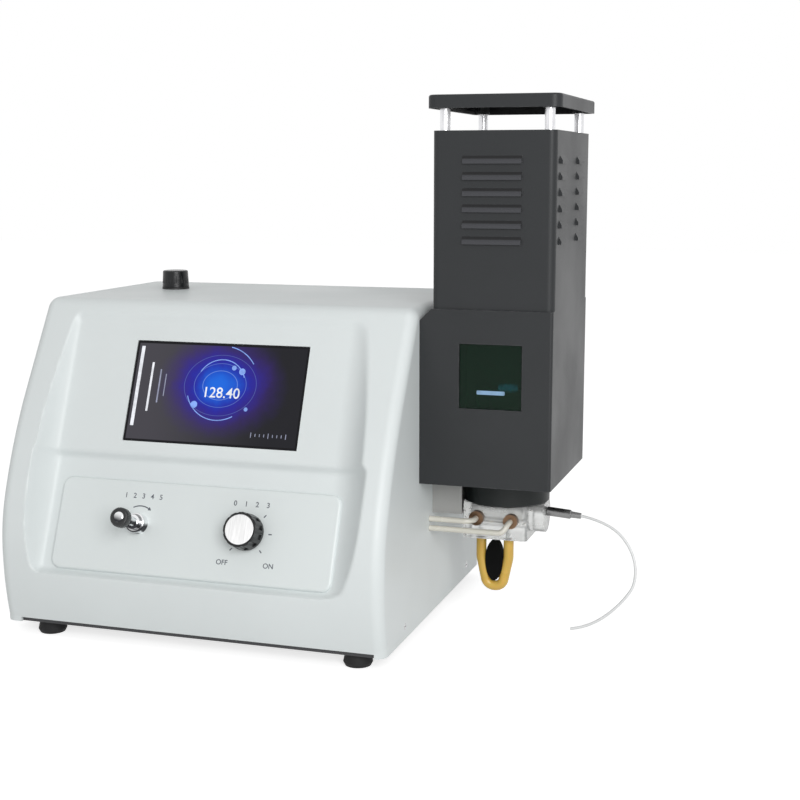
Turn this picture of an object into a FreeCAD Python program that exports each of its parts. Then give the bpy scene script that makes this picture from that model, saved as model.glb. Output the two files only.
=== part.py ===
"""Bench flame photometer: a curved instrument case with a burner tower on its right side.

Drawing frame, in millimetres: x runs from the case's left side, y from the case's lower front
edge to the back, z up from the bench.  Before export every piece is moved so that the origin is
the middle of the instrument's footprint, at the bench.
"""
import FreeCAD, Part
import math
import os
from FreeCAD import Placement, Rotation, Vector

X_AXIS = Vector(1, 0, 0)
Y_AXIS = Vector(0, 1, 0)
Z_AXIS = Vector(0, 0, 1)

# ---------------------------------------------------------------- case
CASE_W = 353.0
CASE_D = 310.0
CASE_H = 274.5
WALL = 3.0
SIDE_EDGE_R = 10.0
TOP_FRONT_R = 14.0
TOP_BACK_R = 20.0
FOOT_H = 12.0
FOOT_R = 12.5
FOOT_TOP_R = 10.5
FOOT_LEFT = 36.0
FOOT_RIGHT = 29.0
FOOT_FRONT = 22.0
FOOT_BACK = 34.0
FOOT_SCREW_R = 2.0
TRAY_EDGE = 4.0
TRAY_T = 2.0
TRAY_FLANGE_H = 16.0
TRAY_SHOWS_LEFT = 16.0
TRAY_SHOWS_RIGHT = 9.0
FIT_GAP = 0.3
CASE_Z = FOOT_H + TRAY_EDGE
CASE_TOP = CASE_Z + CASE_H

# front profile: a gentle bulge, a tighter bend and a slack bend up to a straight slope
BULGE_Y = -3.5
BULGE_H = 62.0
BULGE_R = 280.0
BEND_R = 150.0
BEND_ANGLE = 18.0
SLACK_R = 420.0
SLOPE_ANGLE = 31.5

# leaning centre panel, sunk between the two cheeks
LEAN = 22.5
PANEL_Y = 61.5
PANEL_H = 198.0
FLOOR_DEPTH = 6.0
RECESS_LEFT = 30.0
RECESS_RIGHT = 36.0
RECESS_LOW = -169.0
RECESS_HIGH = 75.0
RECESS_R = 14.0
RECESS_DRAFT = 0.45
PILLOW_LEFT = 35.5
PILLOW_RIGHT = 41.5
PILLOW_LOW = -60.0
PILLOW_R = 14.0
PILLOW_EDGE_R = 4.5

# display
GLASS_W = 163.0
GLASS_H = 90.5
GLASS_T = 1.8
GLASS_RIGHT = 4.0
GLASS_SINK = 0.7
MODULE_T = 7.0
MODULE_FLANGE = 12.0
BRACKET_T = 1.5

# control plate and its two spindles, in the panel's own u (across), v (up the slope), w (out)
PLATE_LEFT = 48.0
PLATE_RIGHT = 47.0
PLATE_V0 = -159.0
PLATE_V1 = -80.5
PLATE_R = 9.0
PLATE_T = 4.0
PLATE_TOP = PLATE_T - FLOOR_DEPTH
SPINDLE_V = -117.0
GAS_LEFT = 50.5
LPG_RIGHT = 51.5
BUSH_R = 6.0
SPINDLE_R = 3.0
RUNNING = 0.06

# gas adjusting valve
NEEDLE_R = 2.5
NEEDLE_PITCH = 0.75
GAS_TURNS = 1.5
GAS_NUT_R = 8.8
GAS_NUT_T = 8.0
GAS_NECK_R = 4.6
GAS_DISC_R = 8.4
GAS_DISC_T = 10.0
GAS_DISC_EDGE_R = 2.5
GAS_REACH = 38.0
VALVE_R = 11.0
VALVE_LEN = 34.0
LINK_W = -30.0

# gas supply switch valve
LPG_KNOB_R = 15.6
LPG_KNOB_T = 15.5
LPG_FLUTES = 12
LPG_FLUTE_R = 3.0
LPG_FLUTE_DEPTH = 1.4
LPG_CAP_R = 12.6
LPG_CAP_T = 1.2
LPG_PUSH = 3.0
LPG_NUT_T = 2.5
LPG_NUT_R = 9.0
PLUG_R = 7.0

# air regulator
REG_X = 70.0
REG_BACK = 98.0
REG_PORT_Z = 228.0
REG_KNOB_R = 12.8
REG_KNOB_H = 15.6
REG_PULL = 3.0
REG_BODY_R = 20.0
REG_BODY_H = 62.0
REG_RING_R = 13.0
REG_RING_T = 2.0
REG_NECK_R = 9.0

# burner tower
HOUSING_W = 114.4
HOUSING_Y0 = 99.5
HOUSING_D = 151.8
HOUSING_LOW = 122.6
HOUSING_HIGH = 273.5
HOUSING_CHAMFER = 10.0
SHEET = 2.0
CHIMNEY_INSET = 10.0
CHIMNEY_FRONT_INSET = 2.4
CHIMNEY_HIGH = 421.0
CHIMNEY_EDGE_R = 6.0
CHIMNEY_SKIRT = 12.0
RIM_W = 19.0
LOUVRE_COUNT = 6
LOUVRE_PITCH = 13.2
LOUVRE_TOP = 401.0
LOUVRE_FRONT_W = 50.0
LOUVRE_SIDE_W = 24.0
LOUVRE_SIDE_FRONT = 27.0
LOUVRE_SIDE_BACK = 101.0
LOUVRE_H = 7.0
LOUVRE_OUT = 2.4
LOUVRE_SKIN = 0.9
POST_R = 4.3
POST_GAP = 18.0
POST_SIDE_INSET = 8.0
POST_END_INSET = 11.0
CAP_T = 11.0
CAP_OVERHANG = 4.0
CAP_R = 8.0
WINDOW_W = 54.0
WINDOW_H = 55.0
WINDOW_RIGHT = 4.6
WINDOW_Z = 217.5
WINDOW_GLASS_T = 3.0
WINDOW_LAP = 6.0

# burner and mixing chamber
BURNER_RIGHT = 2.3
BASE_R = 38.5
BASE_LOW = 97.0
BASE_PROUD = 4.0
BURNER_STEM_R = 9.0
BURNER_HEAD_R = 17.0
BURNER_HEAD_TOP = 196.0
ELECTRODE_DROP = 2.5
ARM_W = 70.0
ARM_LOW = 88.0
CHAMBER_LEFT = 34.5
CHAMBER_RIGHT = 24.0
CHAMBER_HALF_D = 25.0
CHAMBER_LOW = 64.5
CHAMBER_BORE_R = 12.0
CHAMBER_AXIS = 85.0
BOSS_R = 16.0
BOSS_T = 13.0
NEB_R = 4.15
NEB_LEN = 22.0
NEB_TIP_R = 2.65
NEB_TIP_LEN = 9.0
NEB_RISE = 3.0
NEB_DROP = 4.5
CAPILLARY_R = 1.3
DRAIN_R = 4.5
DRAIN_HALF = 12.5
DRAIN_LEFT = 6.5
DRAIN_FRONT = 15.4
DRAIN_LOW = 19.6
DRAIN_TURN = 46.0
SPIGOT_DROP = 7.0
FORMER_T = 8.0

# pipes through the right side, forward of the burner
PIPE_R = 2.5
PIPE_FRONT = 43.4
GAS_PIPE_Z = 84.0
AIR_PIPE_Z = 75.5
RING_LOW_Z = 83.0
RING_R = 6.5
RING_T = 6.0
RING_LEFT = 20.5
RING_RIGHT = 10.5

# back panel
PANEL_T = 2.0
BACK_LIP = 14.0
BACK_OPEN_TOP = 245.0
BARB_R = 4.0
BARB_LEN = 14.0
BARB_NECK_R = 5.0
GAS_BARB_SIDE = 125.0
AIR_BARB_SIDE = 75.0
BARB_Z = 55.0
INLET_X = 75.0
INLET_Z = 46.0
INLET_W = 50.0
INLET_H = 52.0
INLET_DEPTH = 26.0
ROCKER_W = 20.0
ROCKER_H = 14.0
ROCKER_ANGLE = 10.0
PORT_X = 150.0
PORT_Z = 96.0
VENT_ROWS = 8
VENT_PITCH = 12.0
VENT_LOW = 135.0
VENT_W = 80.0
VENT_SPREAD = 62.0

# boards, supply and modules on the tray
SUPPLY_W = 102.0
SUPPLY_D = 110.0
SUPPLY_H = 38.0
SUPPLY_BACK = 58.0
SIDE_ROOM = 10.0
BOARD_GAP = 18.0
BOARD_D = 102.0
BOARD_BACK = 22.0
BOARD_T = 1.6
BOARD_RISE = 10.0
SAFETY_W = 28.0
SAFETY_D = 40.0
SAFETY_H = 24.0
SAFETY_GAP = 26.0
IGNITER_W = 44.0
IGNITER_D = 40.0
IGNITER_H = 26.0
IGNITER_FRONT = 56.0
LEAD_FRONT = 63.4
LEAD_Z = 134.0
LEAD_R = 1.6

# optical block, looking at the flame through the case wall
OPTIC_TUBE_R = 11.0
BEAM_R = 9.0
BLOCK_L = 46.0
BLOCK_W = 50.0
BLOCK_H = 44.0
BLOCK_CROSS = 26.0

SCREW_HEAD_R = 3.0
SCREW_R = 1.5

# ---------------------------------------------------------------- derived places
HOUSING_X0 = CASE_W
HOUSING_X1 = HOUSING_X0 + HOUSING_W
HOUSING_Y1 = HOUSING_Y0 + HOUSING_D
CHIMNEY_X0 = HOUSING_X0 + CHIMNEY_INSET
CHIMNEY_Y0 = HOUSING_Y0 + CHIMNEY_FRONT_INSET
PLATE_Z0 = CHIMNEY_HIGH + POST_GAP
OPTIC_Z = WINDOW_Z
GLASS_U = CASE_W / 2.0 + GLASS_RIGHT
GAS_U = CASE_W / 2.0 - GAS_LEFT
LPG_U = CASE_W / 2.0 + LPG_RIGHT
REG_Y = CASE_D - REG_BACK
WINDOW_X = (HOUSING_X0 + HOUSING_X1) / 2.0 + WINDOW_RIGHT
BURNER_X = (HOUSING_X0 + HOUSING_X1) / 2.0 + BURNER_RIGHT
BURNER_Y = (HOUSING_Y0 + HOUSING_Y1) / 2.0
CHAMBER_X0 = BURNER_X - CHAMBER_LEFT
CHAMBER_X1 = BURNER_X + CHAMBER_RIGHT
DRAIN_X = BURNER_X - DRAIN_LEFT
DRAIN_Y = BURNER_Y - DRAIN_FRONT
PIPE_Y = BURNER_Y - PIPE_FRONT
RING_X = (BURNER_X - RING_LEFT, BURNER_X + RING_RIGHT)
BARB_X = (CASE_W - GAS_BARB_SIDE, CASE_W - AIR_BARB_SIDE)
FLOOR_Z = FOOT_H + TRAY_T
REAR_SIDE = SIDE_EDGE_R + FIT_GAP
SUPPLY_X0 = WALL + SIDE_ROOM + 3.0
SUPPLY_X1 = SUPPLY_X0 + SUPPLY_W
SUPPLY_Y1 = CASE_D - SUPPLY_BACK
BOARD_X0 = SUPPLY_X1 + BOARD_GAP
BOARD_X1 = CASE_W - WALL - SIDE_ROOM - 8.0
BOARD_Y1 = CASE_D - BOARD_BACK
BOARD_Y0 = BOARD_Y1 - BOARD_D
SAFETY_X = BARB_X[0]
SAFETY_Y = BOARD_Y0 - SAFETY_GAP - SAFETY_D / 2.0
SAFETY_PORT_Z = FLOOR_Z + 15.0
IGNITER_X1 = CASE_W - WALL - SIDE_ROOM - 2.0
LEAD_Y = BURNER_Y - LEAD_FRONT
OPTIC_X1 = CASE_W - WALL
ELECTRODE_X = BURNER_X - 26.0
ELECTRODE_Y = BURNER_Y - 8.0


# ---------------------------------------------------------------- small helpers
def up(height):
    """Turn a height above the case's lower edge into a height above the bench."""
    return height + CASE_Z


def box(x0, x1, y0, y1, z0, z1):
    return Part.makeBox(x1 - x0, y1 - y0, z1 - z0, Vector(x0, y0, z0))


def rod(start, axis, radius, length):
    return Part.makeCylinder(radius, length, start, axis)


def cone(start, axis, radius0, radius1, length):
    return Part.makeCone(radius0, radius1, length, start, axis)


def ring(start, axis, outer, inner, length):
    return rod(start, axis, outer, length).cut(rod(start - axis * 1.0, axis, inner, length + 2.0))


def join(shapes):
    whole = shapes[0]
    for shape in shapes[1:]:
        whole = whole.fuse(shape)
    return whole.removeSplitter()


def cut_all(shape, cutters):
    for cutter in cutters:
        shape = shape.cut(cutter)
    return shape


def group(shapes):
    return Part.makeCompound(shapes)


def rounded_rect(u0, u1, v0, v1, w, radius):
    """Closed wire of a rounded rectangle in the plane z = w."""
    corners = ((u1 - radius, v0 + radius, -90), (u1 - radius, v1 - radius, 0),
               (u0 + radius, v1 - radius, 90), (u0 + radius, v0 + radius, 180))
    arcs = []
    for u, v, start in corners:
        arc = Part.Circle(Vector(u, v, w), Z_AXIS, radius)
        arcs.append(arc.toShape(math.radians(start), math.radians(start + 90)))
    edges = []
    for here, after in zip(arcs, arcs[1:] + arcs[:1]):
        edges.append(here)
        edges.append(Part.makeLine(here.valueAt(here.LastParameter), after.valueAt(after.FirstParameter)))
    return Part.Wire(edges)


def rounded_slab(u0, u1, v0, v1, w0, w1, radius):
    return Part.Face(rounded_rect(u0, u1, v0, v1, w0, radius)).extrude(Z_AXIS * (w1 - w0))


def tapered_slab(u0, u1, v0, v1, w0, w1, radius, growth):
    """Loft from a rounded rectangle at w0 to one that is larger by growth all round at w1."""
    low = rounded_rect(u0, u1, v0, v1, w0, radius)
    high = rounded_rect(u0 - growth, u1 + growth, v0 - growth, v1 + growth, w1, radius + max(growth, 0.0))
    return Part.makeLoft([low, high], True, True)


def on_panel(shape):
    """Move a shape from the leaning panel's own u, v, w axes into the drawing frame."""
    placed = shape.copy()
    placed.Placement = Placement(Vector(0, PANEL_Y, up(PANEL_H)), Rotation(X_AXIS, 90.0 - LEAN))
    return placed


def panel_point(u, v, w):
    lean = math.radians(LEAN)
    y = PANEL_Y + v * math.sin(lean) - w * math.cos(lean)
    z = up(PANEL_H) + v * math.cos(lean) + w * math.sin(lean)
    return Vector(u, y, z)


PANEL_OUT = Vector(0, -math.cos(math.radians(LEAN)), math.sin(math.radians(LEAN)))


def bent_tube(points, radius, bend, share=0.45):
    """Tube of straight runs joined by tangent arcs; bend None takes each arc as large as its runs allow."""
    points = [Vector(*point) for point in points]
    edges = []
    radii = []
    last = points[0]
    for before, corner, after in zip(points, points[1:], points[2:]):
        to_corner = corner - before
        from_corner = after - corner
        turn = to_corner.getAngle(from_corner)
        allowed = share * min(to_corner.Length, from_corner.Length) / math.tan(turn / 2.0)
        arc_r = allowed if bend is None else min(bend, allowed)
        reach = arc_r * math.tan(turn / 2.0)
        unit_in = Vector(to_corner).normalize()
        unit_out = Vector(from_corner).normalize()
        start = corner - unit_in * reach
        end = corner + unit_out * reach
        inward = (unit_out - unit_in).normalize()
        middle = corner + inward * (arc_r / math.cos(turn / 2.0) - arc_r)
        edges.append(Part.LineSegment(last, start).toShape())
        edges.append(Part.Arc(start, middle, end).toShape())
        radii.append(arc_r)
        last = end
    edges.append(Part.LineSegment(last, points[-1]).toShape())
    path = Part.Wire(edges)
    direction = points[1] - points[0]
    section = Part.Wire([Part.Circle(points[0], direction, radius).toShape()])
    tube = path.makePipeShell([section], True, False)
    return tube, path.Length, radii


def pipe(points, radius, bend):
    return bent_tube(points, radius, bend)[0]


# ---------------------------------------------------------------- case shapes
def front_y(height):
    """The case's front face, y at a height above its lower edge, below the slack bend."""
    if height <= BULGE_H:
        centre = BULGE_Y + BULGE_R
        return centre - math.sqrt(BULGE_R ** 2 - (BULGE_H - height) ** 2)
    centre = BULGE_Y + BEND_R
    return centre - math.sqrt(BEND_R ** 2 - (height - BULGE_H) ** 2)


def arc_edge(centre_y, centre_z, radius, angle0, angle1):
    """Arc of the front face from angle0 to angle1, in degrees above the horizontal."""
    points = []
    for angle in (angle0, (angle0 + angle1) / 2.0, angle1):
        turn = math.radians(angle)
        points.append(Vector(0, centre_y - radius * math.cos(turn), centre_z + radius * math.sin(turn)))
    return Part.Arc(*points).toShape(), points[0], points[2]


def case_profile(inset):
    """Side profile of the case, every face but the open bottom moved in by inset."""
    bend = math.radians(BEND_ANGLE)
    slope = math.radians(SLOPE_ANGLE)
    bulge_cy = BULGE_Y + BULGE_R
    bend_cy = BULGE_Y + BEND_R
    base = up(BULGE_H)
    slack_cy = bend_cy + (SLACK_R - BEND_R) * math.cos(bend)
    slack_cz = base - (SLACK_R - BEND_R) * math.sin(bend)
    low_angle = -math.degrees(math.asin(BULGE_H / (BULGE_R - inset)))
    bulge, low, _ = arc_edge(bulge_cy, base, BULGE_R - inset, low_angle, 0.0)
    tight, _, _ = arc_edge(bend_cy, base, BEND_R - inset, 0.0, BEND_ANGLE)
    slack, _, slack_end = arc_edge(slack_cy, slack_cz, SLACK_R - inset, BEND_ANGLE, SLOPE_ANGLE)
    top = CASE_TOP - inset
    corner = Vector(0, slack_end.y + (top - slack_end.z) * math.tan(slope), top)
    back_top = Vector(0, CASE_D - inset, top)
    back_low = Vector(0, CASE_D - inset, low.z)
    edges = [bulge, tight, slack, Part.makeLine(slack_end, corner), Part.makeLine(corner, back_top),
             Part.makeLine(back_top, back_low), Part.makeLine(back_low, low)]
    return Part.Wire(edges), corner, back_top


def edges_near(shape, point, reach=0.5):
    vertex = Part.Vertex(point)
    return [edge for edge in shape.Edges if edge.distToShape(vertex)[0] < reach]


def case_block(inset):
    """Solid block of the case's outline, moved in by inset, with its rounded edges."""
    profile, corner, back_top = case_profile(inset)
    block = Part.Face(profile).extrude(X_AXIS * (CASE_W - 2.0 * inset))
    block.translate(X_AXIS * inset)
    middle = X_AXIS * (CASE_W / 2.0)
    block = block.makeFillet(TOP_FRONT_R - inset, edges_near(block, corner + middle))
    block = block.makeFillet(TOP_BACK_R - inset, edges_near(block, back_top + middle))
    side_edges = []
    for edge in block.Edges:
        bounds = edge.BoundBox
        flat = bounds.XMax - bounds.XMin < 0.01
        at_side = min(abs(bounds.XMin - inset), abs(bounds.XMax - (CASE_W - inset))) < 0.01
        if flat and at_side and bounds.ZMax > CASE_Z + 0.5:
            side_edges.append(edge)
    return block.makeFillet(SIDE_EDGE_R - inset, side_edges)


def recess(spread):
    """The sunk area between the cheeks, grown by spread on every wall and in depth."""
    height = 70.0
    return on_panel(tapered_slab(RECESS_LEFT - spread, CASE_W - RECESS_RIGHT + spread,
                                 RECESS_LOW - spread, RECESS_HIGH + spread,
                                 -FLOOR_DEPTH - spread, height, RECESS_R + spread,
                                 RECESS_DRAFT * (height + FLOOR_DEPTH)))


def pillow():
    """Raised field round the display, soft at its lower and side edges."""
    slab = rounded_slab(PILLOW_LEFT, CASE_W - PILLOW_RIGHT, PILLOW_LOW, RECESS_HIGH + 25.0,
                        -FLOOR_DEPTH - 1.0, 0.0, PILLOW_R)
    top_edges = [edge for edge in slab.Edges if edge.BoundBox.ZMin > -0.01]
    return on_panel(slab.makeFillet(PILLOW_EDGE_R, top_edges))


def skirt(block):
    """The outline of the case's lower edge, carried straight down over the tray."""
    outline = min(block.Faces, key=lambda face: face.BoundBox.ZMax)
    return outline.extrude(Z_AXIS * (FOOT_H - CASE_Z))


def cover_shell():
    outer = case_block(0.0)
    shell = outer.cut(recess(0.0))
    shell = shell.fuse(pillow().common(outer))
    shell = shell.fuse(skirt(outer))
    cavity = case_block(WALL).cut(recess(WALL))
    cavity = cavity.fuse(rounded_slab(WALL, CASE_W - WALL, front_y(0.0) + WALL + FIT_GAP, CASE_D - WALL,
                                      FOOT_H - 1.0, CASE_Z + TRAY_FLANGE_H, SIDE_EDGE_R - WALL))
    half_w = GLASS_W / 2.0 + FIT_GAP
    half_h = GLASS_H / 2.0 + FIT_GAP
    openings = [
        on_panel(box(GLASS_U - half_w, GLASS_U + half_w, -half_h, half_h, -30.0, 10.0)),
        on_panel(rod(Vector(GAS_U, SPINDLE_V, -30.0), Z_AXIS, BUSH_R, 40.0)),
        on_panel(rod(Vector(LPG_U, SPINDLE_V, -30.0), Z_AXIS, BUSH_R, 40.0)),
        rod(Vector(REG_X, REG_Y, CASE_TOP - 20.0), Z_AXIS, REG_NECK_R, 40.0),
        box(BACK_LIP, CASE_W - BACK_LIP, CASE_D - 2.0 * WALL, CASE_D + 1.0, FOOT_H - 1.0, up(BACK_OPEN_TOP)),
        box(TRAY_SHOWS_LEFT, CASE_W - TRAY_SHOWS_RIGHT, front_y(0.0) - 10.0, front_y(0.0) + 2.0 * WALL,
            FOOT_H - 1.0, CASE_Z),
        rod(Vector(CASE_W - 10.0, BURNER_Y, up(OPTIC_Z)), X_AXIS, 11.0, 20.0),
        rod(Vector(CASE_W - 10.0, PIPE_Y, up(GAS_PIPE_Z)), X_AXIS, PIPE_R + 0.3, 20.0),
        rod(Vector(CASE_W - 10.0, PIPE_Y, up(AIR_PIPE_Z)), X_AXIS, PIPE_R + 0.3, 20.0),
        rod(Vector(CASE_W - 10.0, LEAD_Y, up(LEAD_Z)), X_AXIS, LEAD_R + 0.3, 20.0),
    ]
    for point, direction in cover_screw_places():
        openings.append(screw(point, direction))
    for point, direction in housing_screw_places():
        openings.append(rod(point, direction, SCREW_R, 12.0))
    return cut_all(shell.cut(cavity), openings).removeSplitter()


def base_tray():
    """Folded floor of the case: it closes the bottom and stands up inside the cover."""
    inner = WALL + FIT_GAP
    front = front_y(0.0) + inner
    corner = SIDE_EDGE_R - inner
    tray = rounded_slab(inner, CASE_W - inner, front, CASE_D - inner, FOOT_H,
                        CASE_Z + TRAY_FLANGE_H - TRAY_EDGE, corner)
    hollow = rounded_slab(inner + TRAY_T, CASE_W - inner - TRAY_T, front + TRAY_T, CASE_D - inner - TRAY_T,
                          FLOOR_Z, CASE_Z + TRAY_FLANGE_H, corner - TRAY_T)
    tray = tray.cut(hollow)
    standoffs = []
    for x, y in board_corners():
        standoffs.append(rod(Vector(x, y, FLOOR_Z - 0.5), Z_AXIS, 3.0, BOARD_RISE + 0.5))
    tray = join([tray] + standoffs)
    cuts = [box(REAR_SIDE - FIT_GAP, CASE_W - REAR_SIDE + FIT_GAP, CASE_D - 10.0, CASE_D, FLOOR_Z, 60.0)]
    for point, direction in cover_screw_places():
        cuts.append(screw(point, direction))
    for x, y in foot_places():
        cuts.append(rod(Vector(x, y, 0.0), Z_AXIS, FOOT_SCREW_R, 30.0))
    return cut_all(tray, cuts)


def foot_places():
    ys = (FOOT_FRONT, CASE_D - FOOT_BACK)
    return [(x, y) for y in ys for x in (FOOT_LEFT, CASE_W - FOOT_RIGHT)]


def feet():
    pieces = []
    for x, y in foot_places():
        foot = cone(Vector(x, y, 0.0), Z_AXIS, FOOT_R - 1.5, FOOT_R, 3.0)
        foot = foot.fuse(cone(Vector(x, y, 3.0), Z_AXIS, FOOT_R, FOOT_TOP_R, FOOT_H - 3.0))
        foot = foot.cut(rod(Vector(x, y, -1.0), Z_AXIS, 4.5, 5.0))
        foot = foot.cut(rod(Vector(x, y, 0.0), Z_AXIS, FOOT_SCREW_R, FOOT_H + 1.0))
        pieces.append(foot.removeSplitter())
    return group(pieces)


def foot_screws():
    pieces = []
    for x, y in foot_places():
        head = rod(Vector(x, y, 1.5), Z_AXIS, 4.0, 2.5)
        shank = rod(Vector(x, y, 4.0), Z_AXIS, FOOT_SCREW_R, FLOOR_Z + 2.0 - 4.0)
        slot = box(x - 3.2, x + 3.2, y - 0.5, y + 0.5, 1.0, 2.3)
        pieces.append(head.fuse(shank).cut(slot).removeSplitter())
    return group(pieces)


def screw(point, direction):
    """Countersunk screw, its head flush at point, driven along direction."""
    head = cone(point, direction, SCREW_HEAD_R, SCREW_R, 1.6)
    shank = rod(point, direction, SCREW_R, 8.0)
    return head.fuse(shank).removeSplitter()


def cover_screw_places():
    z = CASE_Z + 7.0
    places = []
    for y in (60.0, CASE_D - 50.0):
        places.append((Vector(0, y, z), X_AXIS))
        places.append((Vector(CASE_W, y, z), X_AXIS * -1.0))
    return places


def rear_screw_places():
    y = CASE_D - WALL
    places = []
    for x in (BACK_LIP + 5.0, CASE_W - BACK_LIP - 5.0):
        for z in (48.0, up(BACK_OPEN_TOP) - 8.0):
            places.append((Vector(x, y, z), Y_AXIS * -1.0))
    return places


def housing_screw_places():
    places = []
    for y in (HOUSING_Y0 + 16.0, HOUSING_Y1 - 16.0):
        for z in (up(HOUSING_LOW) + 22.0, up(HOUSING_HIGH) - 26.0):
            places.append((Vector(HOUSING_X0 + SHEET, y, z), X_AXIS * -1.0))
    return places


def panel_screws():
    places = cover_screw_places() + rear_screw_places() + housing_screw_places()
    pieces = [screw(point, direction) for point, direction in places]
    slots = []
    across = 0.4
    for piece, (point, direction) in zip(pieces, places):
        start = point - direction * 1.0
        end = point + direction * 0.8
        low = Vector(min(start.x, end.x), min(start.y, end.y), min(start.z, end.z))
        high = Vector(max(start.x, end.x), max(start.y, end.y), max(start.z, end.z))
        if abs(direction.x) > 0.5:
            cutter = box(low.x, high.x, low.y - 2.2, high.y + 2.2, low.z - across, high.z + across)
        else:
            cutter = box(low.x - 2.2, high.x + 2.2, low.y, high.y, low.z - across, high.z + across)
        slots.append(piece.cut(cutter))
    return group(slots)


def rear_panel():
    y0 = CASE_D - WALL - PANEL_T
    y1 = CASE_D - WALL
    panel = box(REAR_SIDE, CASE_W - REAR_SIDE, y0, y1, FLOOR_Z, CASE_TOP - TOP_BACK_R - FIT_GAP)
    cuts = [box(INLET_X - INLET_W / 2.0, INLET_X + INLET_W / 2.0, y0 - 1.0, y1 + 1.0,
                up(INLET_Z) - INLET_H / 2.0, up(INLET_Z) + INLET_H / 2.0),
            box(PORT_X - 10.0, PORT_X + 10.0, y0 - 1.0, y1 + 1.0, up(PORT_Z) - 6.0, up(PORT_Z) + 6.0)]
    for x in BARB_X:
        cuts.append(rod(Vector(x, y0 - 1.0, up(BARB_Z)), Y_AXIS, BARB_NECK_R, PANEL_T + 2.0))
    for row in range(VENT_ROWS):
        z = up(VENT_LOW) + VENT_PITCH * row
        for x in (CASE_W / 2.0 - VENT_SPREAD, CASE_W / 2.0 + VENT_SPREAD):
            slot = rounded_slab(x - VENT_W / 2.0, x + VENT_W / 2.0, -2.0, 2.0, 0.0, PANEL_T + 2.0, 1.9)
            slot.rotate(Vector(0, 0, 0), X_AXIS, 90.0)
            slot.translate(Vector(0, y1 + 1.0, z))
            cuts.append(slot)
    for point, direction in rear_screw_places():
        cuts.append(screw(point, direction))
    return cut_all(panel, cuts)


# ---------------------------------------------------------------- display and control plate
def touch_glass():
    half_w = GLASS_W / 2.0
    half_h = GLASS_H / 2.0
    return on_panel(rounded_slab(GLASS_U - half_w, GLASS_U + half_w, -half_h, half_h,
                                 -GLASS_SINK - GLASS_T, -GLASS_SINK, 1.5))


def display_module():
    """Display panel behind the glass, with its mounting flange on the inner face of the cover."""
    half_w = GLASS_W / 2.0 - 1.0
    half_h = GLASS_H / 2.0 - 1.0
    top = -GLASS_SINK - GLASS_T
    inner = -FLOOR_DEPTH - WALL
    body = box(GLASS_U - half_w, GLASS_U + half_w, -half_h, half_h, inner - BRACKET_T - MODULE_T, top)
    flange = box(GLASS_U - half_w - MODULE_FLANGE, GLASS_U + half_w + MODULE_FLANGE,
                 -half_h - MODULE_FLANGE, half_h + MODULE_FLANGE, inner - BRACKET_T, inner)
    return on_panel(join([body, flange]))


def display_board():
    """Driver board on four standoffs behind the display."""
    back = -FLOOR_DEPTH - WALL - BRACKET_T - MODULE_T
    board = box(GLASS_U - 70.0, GLASS_U + 70.0, -38.0, 38.0, back - 7.6, back - 6.0)
    parts = [board]
    for u in (-62.0, 62.0):
        for v in (-31.0, 31.0):
            parts.append(rod(Vector(GLASS_U + u, v, back - 6.2), Z_AXIS, 2.5, 6.2))
    parts.append(box(GLASS_U - 20.0, GLASS_U + 4.0, -12.0, 12.0, back - 10.0, back - 7.4))
    parts.append(box(GLASS_U + 20.0, GLASS_U + 44.0, -30.0, -22.0, back - 14.0, back - 7.4))
    parts.append(box(GLASS_U - 52.0, GLASS_U - 34.0, 10.0, 20.0, back - 12.0, back - 7.4))
    return on_panel(join(parts))


def control_plate():
    plate = rounded_slab(PLATE_LEFT, CASE_W - PLATE_RIGHT, PLATE_V0, PLATE_V1,
                         -FLOOR_DEPTH, PLATE_TOP, PLATE_R)
    rim = [edge for edge in plate.Edges if edge.BoundBox.ZMin > PLATE_TOP - 0.01]
    plate = plate.makeFillet(1.2, rim)
    below = -FLOOR_DEPTH - 1.0
    holes = [rod(Vector(u, SPINDLE_V, below), Z_AXIS, BUSH_R, PLATE_T + 2.0) for u in (GAS_U, LPG_U)]
    return on_panel(cut_all(plate, holes))


# ---------------------------------------------------------------- gas adjusting valve
def needle_valve_body():
    """Brass body behind the cover, its bush standing through cover and control plate."""
    back = -FLOOR_DEPTH - WALL
    end = back - VALVE_LEN
    body = rod(Vector(GAS_U, SPINDLE_V, end), Z_AXIS, VALVE_R, VALVE_LEN)
    bush_top = PLATE_TOP + GAS_NUT_T - 2.0
    body = body.fuse(rod(Vector(GAS_U, SPINDLE_V, back - 1.0), Z_AXIS, BUSH_R, bush_top - back + 1.0))
    side_port = rod(Vector(GAS_U, SPINDLE_V, LINK_W), X_AXIS, 4.5, VALVE_R + 6.0)
    body = body.fuse(side_port)
    cuts = [
        rod(Vector(GAS_U, SPINDLE_V, end + 12.0), Z_AXIS, SPINDLE_R + RUNNING, bush_top - end),
        rod(Vector(GAS_U, SPINDLE_V, end - 1.0), Z_AXIS, PIPE_R, 16.0),
        rod(Vector(GAS_U + 1.0, SPINDLE_V, LINK_W), X_AXIS, PIPE_R, VALVE_R + 7.0),
    ]
    return on_panel(cut_all(body, cuts))


def gas_spindle():
    """Shaft fixed to the gas knob; the needle's stem screws into its lower end."""
    low = -FLOOR_DEPTH - WALL - VALVE_LEN + 20.0
    high = PLATE_TOP + GAS_REACH - 4.0
    shaft = rod(Vector(GAS_U, SPINDLE_V, low), Z_AXIS, SPINDLE_R, high - low)
    bore = rod(Vector(GAS_U, SPINDLE_V, low - 1.0), Z_AXIS, 1.5 + RUNNING, 13.0)
    return on_panel(shaft.cut(bore))


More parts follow.
